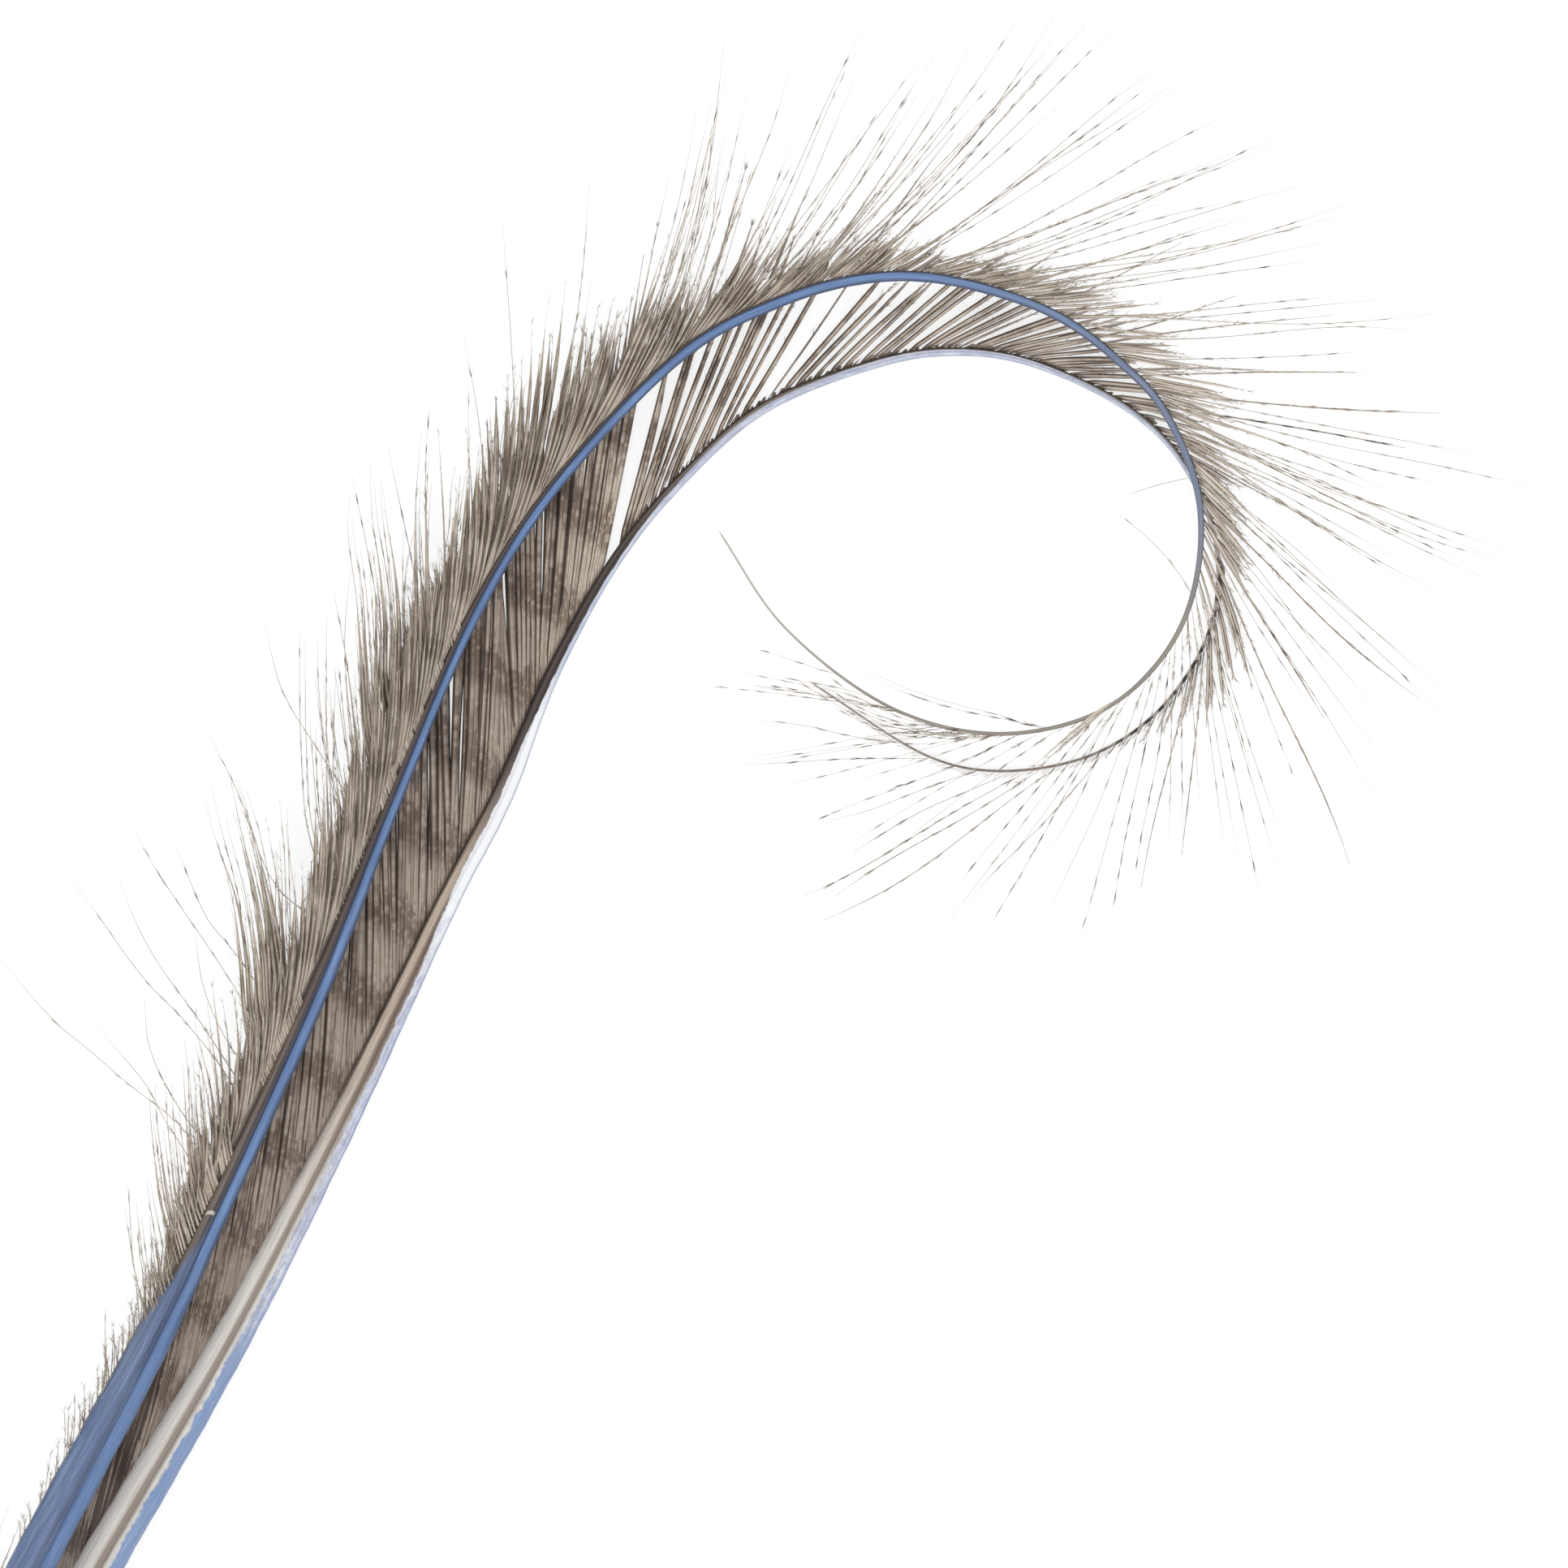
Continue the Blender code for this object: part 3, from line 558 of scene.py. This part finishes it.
def as_mesh(name, points, faces, marks, finish):
    """A mesh piece from millimetre points, with its named marks, in the frame's place."""
    mesh = bpy.data.meshes.new(name)
    points = ((np.asarray(points, float) + PLACE) * 0.001).astype(np.float32)
    faces = np.asarray(faces, np.int32)
    mesh.vertices.add(len(points))
    mesh.vertices.foreach_set("co", points.ravel())
    mesh.loops.add(faces.size)
    mesh.loops.foreach_set("vertex_index", faces.ravel())
    mesh.polygons.add(len(faces))
    mesh.polygons.foreach_set("loop_start", np.arange(0, faces.size, faces.shape[1], dtype=np.int32))
    mesh.update(calc_edges=True)
    mesh.validate()
    for key, values in marks.items():
        made = mesh.attributes.new(key, "FLOAT_VECTOR", "POINT")
        made.data.foreach_set("vector", np.asarray(values, np.float32).ravel())
    mesh.polygons.foreach_set("use_smooth", np.full(len(mesh.polygons), True))
    mesh.materials.append(finish)
    piece = bpy.data.objects.new(name, mesh)
    bpy.context.scene.collection.objects.link(piece)
    return piece


def sleeve(count, size):
    """Triangles of a run of equal rings, with its two ends capped by fans."""
    i = np.arange(size)
    j = (i + 1) % size
    quads = []
    for k in range(count - 1):
        low, high = k * size, (k + 1) * size
        quads.append(np.stack([low + i, low + j, high + j], -1))
        quads.append(np.stack([low + i, high + j, high + i], -1))
    fan = np.arange(1, size - 1)
    quads.append(np.stack([np.zeros_like(fan), fan + 1, fan], -1))
    end = (count - 1) * size
    quads.append(np.stack([np.full_like(fan, end), end + fan, end + fan + 1], -1))
    return np.vstack(quads)


def rachis_piece(name, shaft, section, finish, ridge=()):
    """The whole quill and rachis, cut hollow at its foot and drawn to a point at its tip.

    ridge gives the share of the width that the blue ridge takes, mm along the rachis.
    """
    section = np.array(section)
    body = np.r_[np.arange(0.15, 70, 0.8), np.arange(70, shaft.total - 0.6, 0.5)]
    along = np.r_[1.3, 0.06, 0.0, 0.0, body, shaft.total - 0.3, shaft.total]
    scale = np.r_[0.58, 0.62, 0.72, 0.95, np.ones(len(body)), 0.7, 0.25]
    place, ahead, out, width = shaft.at(along)
    low, high = shaft.underside(along), shaft.depth(along)
    thin = FRONT_THIN if shaft.front else BACK_THIN
    width = width * read(thin, along)
    shape = np.repeat(section[None], len(along), 0).copy()
    if len(ridge):
        share = read(ridge, along)[:, None]
        x = shape[:, :, 0]
        shape[:, :, 0] = np.where(x < RIDGE_FOOT, -0.5 + (x + 0.5) * share / (RIDGE_FOOT + 0.5),
                                  0.5 - (0.5 - x) * (1 - share) / (0.5 - RIDGE_FOOT))
    shape[:, :, 0] *= scale[:, None]
    shape[:, :, 1] = 0.45 + (shape[:, :, 1] - 0.45) * scale[:, None]
    ripple = 1 + 0.012 * np.sin(along * 0.9 + 1.0) + 0.01 * np.sin(along * 2.3)
    points = place[:, None] + out[:, None] * (shape[:, :, 0] * (width * ripple)[:, None])[..., None]
    points[..., 2] = low[:, None] + shape[:, :, 1] * high[:, None]
    marks = np.stack([np.repeat(along[:, None], len(section), 1),
                      np.repeat(section[None, :, 0], len(along), 0),
                      np.repeat(section[None, :, 1], len(along), 0)], -1)
    faces = sleeve(len(along), len(section))
    return as_mesh(name, points.reshape(-1, 3), faces, {"place": marks.reshape(-1, 3)}, finish)


# The barbs

MEAN_BEND = 1.03         # mean angle of a barb over the angle at its middle
THREAD = 0.06            # width of a bare barb, mm
BLADE = 0.11             # greatest thickness of a web blade, mm
ROOT_OUT = 0.36          # where a barb starts in the rachis, as a share of its width
UPPER_ROOT, LOWER_ROOT = 0.56, 0.42      # and of its height
FRONT_FLOOR = 4.05       # the front feather's barbs stay over this, mm
BACK_FLOOR, BACK_CEILING = 0.12, 3.3     # the back feather's stay between these
GOLDEN = 0.618034        # steps of this share spread an even thinning


def barb_lines(shaft, at, upper, angle, tilt, length, steps):
    """Centre points of barbs from inside the rachis to their tips, and their two directions."""
    place, ahead, out, width = shaft.at(at)
    side = out * np.cos(tilt)[:, None]
    side[:, 2] = np.sin(tilt)
    share = np.linspace(0, 1, steps)
    leave = read(FRONT_LEAVE if shaft.front else BACK_LEAVE, at)[:, None]
    if not upper:
        leave = np.maximum(leave, 0.7)
    crown = (3 * MEAN_BEND - leave) / 2
    bend = angle[:, None] * (crown - (crown - leave) * (1 - share[None]) ** 2)
    ahead_run = np.cumsum(np.cos(bend), 1) - np.cos(bend[:, :1])
    side_run = np.cumsum(np.sin(bend), 1) - np.sin(bend[:, :1])
    step = (length / (steps - 1))[:, None]
    start = place + out * (ROOT_OUT * width)[:, None]
    start[:, 2] = shaft.underside(at) + shaft.depth(at) * (UPPER_ROOT if upper else LOWER_ROOT)
    points = start[:, None] + ahead[:, None] * (ahead_run * step)[..., None] \
        + side[:, None] * (side_run * step)[..., None]
    return points, ahead, side


def ribbons(centre, across, normal, width, thick):
    """Closed thin blades with four corners at each step."""
    n, k = width.shape
    corners = np.stack([centre - across * (width / 2)[..., None],
                        centre + normal * (thick / 2)[..., None],
                        centre + across * (width / 2)[..., None],
                        centre - normal * (thick / 2)[..., None]], 2)
    one = sleeve(k, 4)
    faces = (one[None] + (np.arange(n) * 4 * k)[:, None, None]).reshape(-1, 3)
    return corners.reshape(-1, 3), faces


def directions(centre, side, ahead):
    """Along, across and out of the blade at each of its points."""
    run = np.gradient(centre, axis=1)
    run /= np.linalg.norm(run, axis=2, keepdims=True) + 1e-9
    flat = np.cross(ahead, side)
    flat /= np.linalg.norm(flat, axis=1, keepdims=True)
    across = np.cross(run, flat[:, None])
    across /= np.linalg.norm(across, axis=2, keepdims=True) + 1e-9
    return run, across, np.cross(across, run)


def hold_apart(points, front, at):
    """Keeps the front feather's barbs over the back feather, and the back one's on the table."""
    z = points[..., 2]
    if front:
        z[:] = np.maximum(z, np.where(at > 44, FRONT_FLOOR, 2.4)[:, None])
    else:
        low_top = 1.6 + 1.4 * np.clip((at - 34) / 26, 0, 1)
        z[:] = np.clip(z, BACK_FLOOR, np.where(at > 60, BACK_CEILING, low_top)[:, None])


def vane_piece(name, shaft, table, burn, run, upper, finish, seed, lock_step, clump, scatter,
               gaps=(), turn=2.4, cell=1.2, single=0.25, steps=16):
    """The barbs of one side of a feather: webbed near the rachis, then burnt off or bare.

    run is the first and last barb and their spacing, mm along the rachis. Barbs gather in locks
    every lock_step mm, pulled together by clump and turned by up to turn degrees, and scatter is
    each barb's own stray in degrees. Over the stem and curl the fire takes them in cells of mm,
    and single is the share of it that takes them one by one. Of those that it takes the back
    feather keeps charred stubs. Each of the gaps is a stretch without barbs, mm along.
    """
    rng = np.random.RandomState(seed)
    first, last, spacing = run
    at = np.arange(first, last, spacing)
    at = at + rng.uniform(-0.2, 0.2, len(at)) * spacing
    patch = np.random.RandomState(seed + 2).uniform(0, 1, 400)[np.floor(at / cell).astype(int)]
    alone = np.interp(at, (58, 68, 194, 210), (1.0, single, single, 1.0))
    even = np.arange(len(at)) * GOLDEN % 1
    keep = patch * (1 - alone) + even * alone >= read(burn, at, 3)
    burnt = ~keep & (not shaft.front)
    keep |= burnt
    for low, high in gaps:
        keep &= (at < low) | (at > high)
    at, burnt = at[keep], burnt[keep]
    n = len(at)
    lock = np.round((at - first) / lock_step + rng.normal(0, 0.12, n))
    salt = np.random.RandomState(seed + 1).normal(0, 1, (60, 5))[lock.astype(int) % 60]
    lifted = shaft.front and upper
    lean = np.clip(0.5 + 0.35 * salt[:, 4], 0, 1)
    bare = rng.uniform(0, 1, n) < read(burn, at, 2) * (0.3 + 1.4 * lean)
    vary = 1.0 if shaft.front else np.interp(at, (128, 146), (0.45, 1.0))
    webbed = read(burn, at, 1) * (1 + vary * (0.14 * salt[:, 2] + rng.uniform(-0.25, 0.2, n)))
    webbed = np.clip(webbed, 0.6, 60)
    full = read(table, at, 2)
    whole = full * (0.96 + 0.03 * salt[:, 2] - 0.42 * rng.uniform(0, 1, n) ** 1.5)
    stub = webbed + whole * 0.45 * rng.uniform(0, 1, n) ** 2 * np.interp(at, (196, 208), (1, 0.2))
    webbed = np.where(bare, stub, webbed)
    length = np.where(bare, np.maximum(whole, webbed), webbed * rng.uniform(0.9, 1.25, n))
    length = np.minimum(length, full * 1.02)
    webbed = np.where(burnt, 1.0, webbed)
    length = np.where(burnt, 0.55 + 0.7 * (at * 7.31 % 1), length)
    calm = np.interp(at, (200, 211), (1.0, 0.3))
    angle = read(table, at, 1) + turn * salt[:, 0] * calm + 2.0 * bare
    rise = read(table, at, 3) if upper else -read(table, at, 4)
    rise = rise + (np.where(at > 150, 5.0, 2.5) if lifted else 1.2) * salt[:, 1]
    if lifted:
        rise = rise * (1 - 0.5 * bare * rng.uniform(0.1, 1, n))
    heart = barb_lines(shaft, np.clip(first + lock * lock_step, first, last), upper,
                       np.radians(angle), np.radians(rise), length, steps)[0]
    wide = scatter * (1 + 1.2 * bare * (at > 150)) * calm
    angle = np.radians(angle + rng.normal(0, 1, n) * wide)
    tilt = np.radians(rise + rng.normal(0, 2.5 if lifted else 0.5, n))
    centre, ahead, side = barb_lines(shaft, at, upper, angle, tilt, length, steps)
    share = np.linspace(0, 1, steps)[None]
    reach = share * length[:, None] / webbed[:, None]
    pull = clump * (0.5 + 0.9 * rng.uniform(0, 1, n)) * np.where(bare, 0.35, 1.0)
    pull *= calm
    apart = np.abs(heart - centre)[:, -1, :2].max(1)
    pull = pull[:, None] * np.clip(reach, 0, 1.5) ** 1.4 * np.clip(1.6 - apart / 4.5, 0, 1)[:, None]
    centre = centre + (heart - centre) * pull[..., None]
    sway = rng.normal(0, 1, (n, 2))
    sway = (sway[:, :1] * 0.018 * length[:, None]) * np.sin(share * 4.6 + sway[:, 1:] * 2.0) * share
    centre = centre + side[:, None] * sway[..., None] * np.where(bare, 1.0, 0.5)[:, None, None]
    hold_apart(centre, shaft.front, at)
    soft = np.clip((1.08 - reach) / np.where(bare, 0.8, 0.3)[:, None], 0, 1)
    blade = read(burn, at, 4) * (0.85 + 0.3 * rng.uniform(0, 1, n)) * np.where(bare, 0.55, 1.0)
    blade *= np.where(patch[keep] > 0.62, 1.15, 0.95)
    return dress(name, rng, shaft.front, (centre, side, ahead), (at, length, webbed), soft, blade,
                 finish)


def dress(name, rng, front, lines, sizes, soft, blade, finish):
    """Web blades along the barb lines, with their barbules and what is left on the bare threads."""
    (centre, side, ahead), (at, length, webbed) = lines, sizes
    n, steps = soft.shape
    share = np.linspace(0, 1, steps)[None]
    reach = share * length[:, None] / webbed[:, None]
    way, across, normal = directions(centre, side, ahead)
    soft = smooth(soft)
    thread = THREAD * np.interp(at, (200, 216, 240), (1.0, 0.85, 0.65))[:, None]
    width = blade[:, None] * soft + (1 - soft) * thread
    width *= np.clip(share * length[:, None] * 0.8 + 0.3, 0, 1) * np.clip((1.03 - share) * 4, 0.4, 1)
    points, faces = ribbons(centre, across, normal, width, np.minimum(BLADE, 0.75 * width))
    chance = rng.uniform(0, 1, n)
    each = np.ones((n, steps, 4))
    barb = np.stack([at[:, None, None] * each, soft[..., None] * each,
                     chance[:, None, None] * each], -1)
    edge = np.broadcast_to(np.array([0.0, 0.5, 1.0, 0.5]), (n, steps, 4))
    blade = np.stack([edge, (share * length[:, None])[..., None] * each, reach[..., None] * each], -1)
    frame = (centre, way, across, normal, length, webbed, at, chance)
    fringe = barbules(rng, frame, web_spots(rng, length, webbed), (0.2, 0.6), (0.25, 0.9), 0.7, front)
    dashes = barbules(rng, frame, dash_spots(rng, length, webbed), (0.04, 0.13), (0.5, 1.2), 2.0, front)
    for more in (fringe, dashes):
        faces = np.vstack([faces, more[1] + len(points)])
        points = np.vstack([points, more[0]])
    marks = {"barb": np.vstack([barb.reshape(-1, 3), fringe[2], dashes[2]]),
             "blade": np.vstack([blade.reshape(-1, 3), fringe[3], dashes[3]])}
    return as_mesh(name, points, faces, marks, finish)


def web_spots(rng, length, webbed, each=14):
    """Which barb and how far out on it, mm, for the barbules that fringe the web."""
    row = np.repeat(np.arange(len(length)), each)
    far = webbed[row] * rng.uniform(0.2, 1.25, len(row)) ** 0.8
    keep = far > 1.2
    return row[keep], np.minimum(far, length[row] * 0.98)[keep]


def dash_spots(rng, length, webbed, step=1.75, each=5):
    """The same for the little tufts that the fire left along the bare threads."""
    rows, fars = [], []
    for i in np.nonzero(length > webbed * 1.3)[0]:
        tufts = np.arange(webbed[i] * rng.uniform(0.9, 1.1), length[i] * 0.93, step)
        tufts = tufts + rng.uniform(-0.3, 0.3, len(tufts)) * step
        fade = 1 - (tufts / length[i]) ** 2 * 0.75
        tufts = tufts[rng.uniform(0, 1, len(tufts)) < 0.8 * fade]
        fars.append(np.repeat(tufts, each) + rng.normal(0, 0.13, len(tufts) * each))
        rows.append(np.full(len(tufts) * each, i))
    if not rows:
        return np.zeros(0, int), np.zeros(0)
    return np.concatenate(rows), np.concatenate(fars)


def barbules(rng, frame, spots, leans, reaches, mark, front):
    """Thin three-sided spikes that lean off both edges of the barbs."""
    centre, way, across, normal, length, webbed, at, chance = frame
    row, far = spots
    n, k = len(row), centre.shape[1]
    spot = (far / length[row]).clip(0, 0.99) * (k - 1)
    i = np.floor(spot).astype(int).clip(0, k - 2)
    part = (spot - i)[:, None]
    root = centre[row, i] * (1 - part) + centre[row, i + 1] * part
    sign = rng.choice([-1.0, 1.0], n)[:, None]
    lean = rng.uniform(leans[0], leans[1], n)[:, None]
    aim = way[row, i] * np.cos(lean) + across[row, i] * sign * np.sin(lean) \
        + normal[row, i] * rng.normal(0, 0.1, n)[:, None]
    tip = root + aim * rng.uniform(reaches[0], reaches[1], n)[:, None]
    lowest, highest = (4.0, np.inf) if front else (0.08, 3.4)
    tip[:, 2] = np.clip(tip[:, 2], lowest, highest)
    thin = rng.uniform(0.02, 0.038, n)[:, None]
    base = [root + across[row, i] * thin, root - across[row, i] * thin, root + normal[row, i] * thin]
    points = np.stack(base + [tip], 1).reshape(-1, 3)
    one = np.array([[0, 1, 2], [0, 3, 1], [1, 3, 2], [2, 3, 0]])
    faces = (one[None] + (np.arange(n) * 4)[:, None, None]).reshape(-1, 3)
    four = np.ones((n, 4))
    barb = np.stack([at[row][:, None] * four, 0.8 * four, chance[row][:, None] * four], -1)
    blade = np.stack([mark * four, far[:, None] * four, (far / webbed[row])[:, None] * four], -1)
    return points, faces, barb.reshape(-1, 3), blade.reshape(-1, 3)


def lock_piece(name, shaft, locks, finish, seed, lift, steps=24):
    """Single threads and locks of barbs along lines read off the photograph, rooted in the rachis."""
    rng = np.random.RandomState(seed)
    runs, rows = [], []
    for count, base, end, blade, kept, line in locks:
        flat = spline([plan(u, v) + (0.0,) for u, v in line], 12)
        far = np.r_[0, np.cumsum(np.hypot(*np.diff(flat[:, :2], axis=0).T))]
        foot, slope = shaft.near(*flat[0, :2]), rng.uniform(-0.3, 0.6)
        for place in np.linspace(-0.5, 0.5, count) if count > 1 else (0.0,):
            place = place + rng.uniform(-0.5, 0.5) / count * (count > 1)
            long = far[-1] * (rng.uniform(0.55, 1.0) if count > 1 else 1.0)
            mark = np.linspace(0, long, steps)
            run = np.stack([np.interp(mark, far, flat[:, i]) for i in range(3)], -1)
            way = np.gradient(run, axis=0)
            way /= np.linalg.norm(way, axis=1)[:, None]
            away = smooth(np.clip(mark / far[-1] / 0.3, 0, 1))
            spread = place * (base + (end - base) * mark / far[-1])
            own = foot + place * base * 1.6
            sway = rng.normal(0, 0.012) * mark * np.sin(mark / far[-1] * 5.0 + rng.uniform(0, 6))
            run += np.stack([way[:, 1], -way[:, 0], 0 * mark], -1) * (spread * away + sway)[:, None]
            root = shaft.at(own)[0] - run[0]
            run[:, :2] += root[None, :2] * (1 - away)[:, None]
            run[:, 2] = shaft.underside(own) + 0.5 * shaft.depth(own) \
                + (lift + rng.normal(0, 0.15)) * (1 - np.exp(-mark / 14.0)) + slope * mark / 20
            runs.append(run)
            rows.append((own, long, long * kept * rng.uniform(0.6, 1.3), blade))
    centre = np.array(runs)
    at, length, webbed, blade = np.array(rows).T
    hold_apart(centre, shaft.front, at)
    _, ahead, out, _ = shaft.at(at)
    reach = np.linspace(0, 1, steps)[None] * length[:, None] / webbed[:, None]
    soft = np.clip((1.08 - reach) / 0.6, 0, 1)
    return dress(name, rng, shaft.front, (centre, out, ahead), (at, length, webbed), soft,
                 blade * rng.uniform(0.8, 1.2, len(blade)), finish)


# The binding

TIE_START, TIE_LENGTH = 4.0, 8.0     # mm from the cut ends


def binding_piece(front, back, finish):
    """Thread wound round both quills in close turns."""
    middle = TIE_START + TIE_LENGTH / 2
    (a, ahead_a, _, wide_a), (b, ahead_b, _, wide_b) = front.at(middle), back.at(middle)
    ahead = ahead_a + ahead_b
    ahead /= np.linalg.norm(ahead)
    side = np.array([-ahead[1], ahead[0], 0.0])
    reach = (a - b) @ side / 2
    level = float(front.underside(0)) + 0.43 * float(wide_a)
    inner = 0.5 * max(float(wide_a), float(wide_b)) + 0.40
    radius, turns, fine, sides = 0.39, 9, 40, 10
    spot = np.arange(turns * fine + 1) / fine
    turn = 2 * math.pi * spot
    pull = np.clip(np.minimum(spot, turns - spot) * 8, 0, 1)
    way = side[None] * np.cos(turn)[:, None] + np.array([0, 0, 1.0]) * np.sin(turn)[:, None]
    ease_side = np.tanh(np.cos(turn) * 3.0) / math.tanh(3.0)
    line = (a + b) / 2 + side * (reach * ease_side)[:, None] + way * (inner + radius)
    line = line + ahead * ((spot - turns / 2) * (TIE_LENGTH - 2 * radius) / turns)[:, None]
    line[:, 2] += level
    run = np.gradient(line, axis=0)
    run /= np.linalg.norm(run, axis=1, keepdims=True)
    other = np.cross(run, way)
    other /= np.linalg.norm(other, axis=1, keepdims=True)
    outward = np.cross(other, run)
    ring = np.arange(sides) * 2 * math.pi / sides
    scale = radius * (0.35 + 0.65 * pull)
    points = line[:, None] + (outward[:, None] * np.cos(ring)[None, :, None]
                              + other[:, None] * np.sin(ring)[None, :, None]) * scale[:, None, None]
    length = np.r_[0, np.cumsum(np.linalg.norm(np.diff(line, axis=0), axis=1))]
    marks = np.stack([np.repeat(length[:, None], sides, 1),
                      np.repeat(np.arange(sides)[None] / sides, len(line), 0),
                      np.repeat(spot[:, None], sides, 1)], -1)
    return as_mesh("wound_thread", points.reshape(-1, 3), sleeve(len(line), sides),
                   {"place": marks.reshape(-1, 3)}, finish)


# The studio

def studio():
    """A camera straight above that frames the photograph's view, soft white light, a white table."""
    middle = np.array(plan(PHOTO_PIXELS / 2, PHOTO_PIXELS / 2) + (0.0,)) + PLACE
    lens, sensor = 150.0, 36.0
    eye = bpy.data.objects.new("camera", bpy.data.cameras.new("camera"))
    eye.data.lens, eye.data.sensor_width = lens, sensor
    away = PHOTO_PIXELS * PIXEL / 2 / (sensor / 2 / lens) + 3.0
    eye.location = Vector((middle[0], middle[1], away)) * 0.001
    eye.data.clip_start, eye.data.clip_end = 0.01, 20.0
    bpy.context.scene.collection.objects.link(eye)
    bpy.context.scene.camera = eye
    world = bpy.data.worlds.new("soft_white_room")
    world.use_nodes = True
    world.node_tree.nodes["Background"].inputs[0].default_value = (1, 1, 1, 1)
    world.node_tree.nodes["Background"].inputs[1].default_value = 1.5
    bpy.context.scene.world = world
    for name, turn, power in (("key", (0.55, -0.45, 0.0), 0.75), ("fill", (-0.5, 0.6, 0.0), 0.25)):
        lamp = bpy.data.lights.new(name, "SUN")
        lamp.energy, lamp.angle = power, 0.6
        item = bpy.data.objects.new(name, lamp)
        item.rotation_euler = turn
        bpy.context.scene.collection.objects.link(item)
    bpy.context.scene.view_settings.view_transform = "Standard"
    card, low = 3.0, -0.00002        # half the card's side, and its top just under the feather, m
    mesh = bpy.data.meshes.new("table")
    mesh.from_pydata([(-card, -card, low), (card, -card, low), (card, card, low),
                      (-card, card, low)], [], [(0, 1, 2, 3)])
    mesh.materials.append(table_finish())
    floor = bpy.data.objects.new("table", mesh)
    bpy.context.scene.collection.objects.link(floor)


def build():
    """Makes every piece, hangs each from the root body, hides the part of its node, and sets the studio
    round them.
    """
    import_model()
    front, back = Shaft(FRONT_LINE, True), Shaft(BACK_LINE, False)
    front_barbs = barb_finish("front_barb_keratin", rgb(176, 162, 146), rgb(102, 88, 75),
                              rgb(202, 190, 174), rgb(224, 212, 197), 5.6, 0.6, 0.0)
    back_barbs = barb_finish("back_barb_keratin", rgb(132, 113, 97), rgb(70, 54, 43),
                             rgb(189, 173, 157), rgb(222, 211, 200), 7.6, 0.65, 0.34)
    wide_gap = back.near(*plan(752, 690))
    gaps = [(wide_gap - 1.4, wide_gap + 1.1)]
    pieces = {
        "front_feather": [
            rachis_piece("front_rachis", front, FRONT_SECTION, front_rachis_finish(), FRONT_RIDGE),
            vane_piece("front_upper_barbs", front, FRONT_VANE, FRONT_UPPER_BURN, (34.0, 256.0, 0.40),
                       True, front_barbs, 11, 4.2, 0.22, 2.2),
            vane_piece("front_lower_barbs", front, FRONT_VANE, FRONT_LOWER_BURN, (40.0, 254.0, 0.44),
                       False, front_barbs, 21, 4.6, 0.25, 2.4),
            lock_piece("stem_strays", front, [(1, 0, 0, 0.09, 0.4, line) for line in STEM_STRAYS],
                       front_barbs, 61, 4.5),
            lock_piece("crook_strays", front, [(1, 0, 0, 0.04, 0.1, line) for line in CROOK_STRAYS],
                       front_barbs, 62, 2.0),
            lock_piece("stem_tufts", front, STEM_TUFTS, front_barbs, 63, 5.0),
            lock_piece("tip_tufts", front, TIP_TUFTS, front_barbs, 64, 1.5),
        ],
        "back_feather": [
            rachis_piece("back_rachis", back, BACK_SECTION, back_rachis_finish())] + [
            vane_piece(name, back, BACK_VANE, BACK_BURN, (24.0, 244.0, 0.54), upper, back_barbs,
                       31, 7.8, 0.06, 0.6, gaps, turn=0.9, cell=0.8, single=0.7)
            for name, upper in (("back_upper_barbs", True), ("back_lower_barbs", False))],
        "binding_thread": [binding_piece(front, back, thread_finish())],
    }
    total = 0
    for node, made in pieces.items():
        for piece in made:
            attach(piece, "root")
            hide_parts(node)
            total += len(piece.data.polygons)
            print(piece.name, len(piece.data.polygons), "triangles")
    print("all", total, "triangles")
    studio()


build()
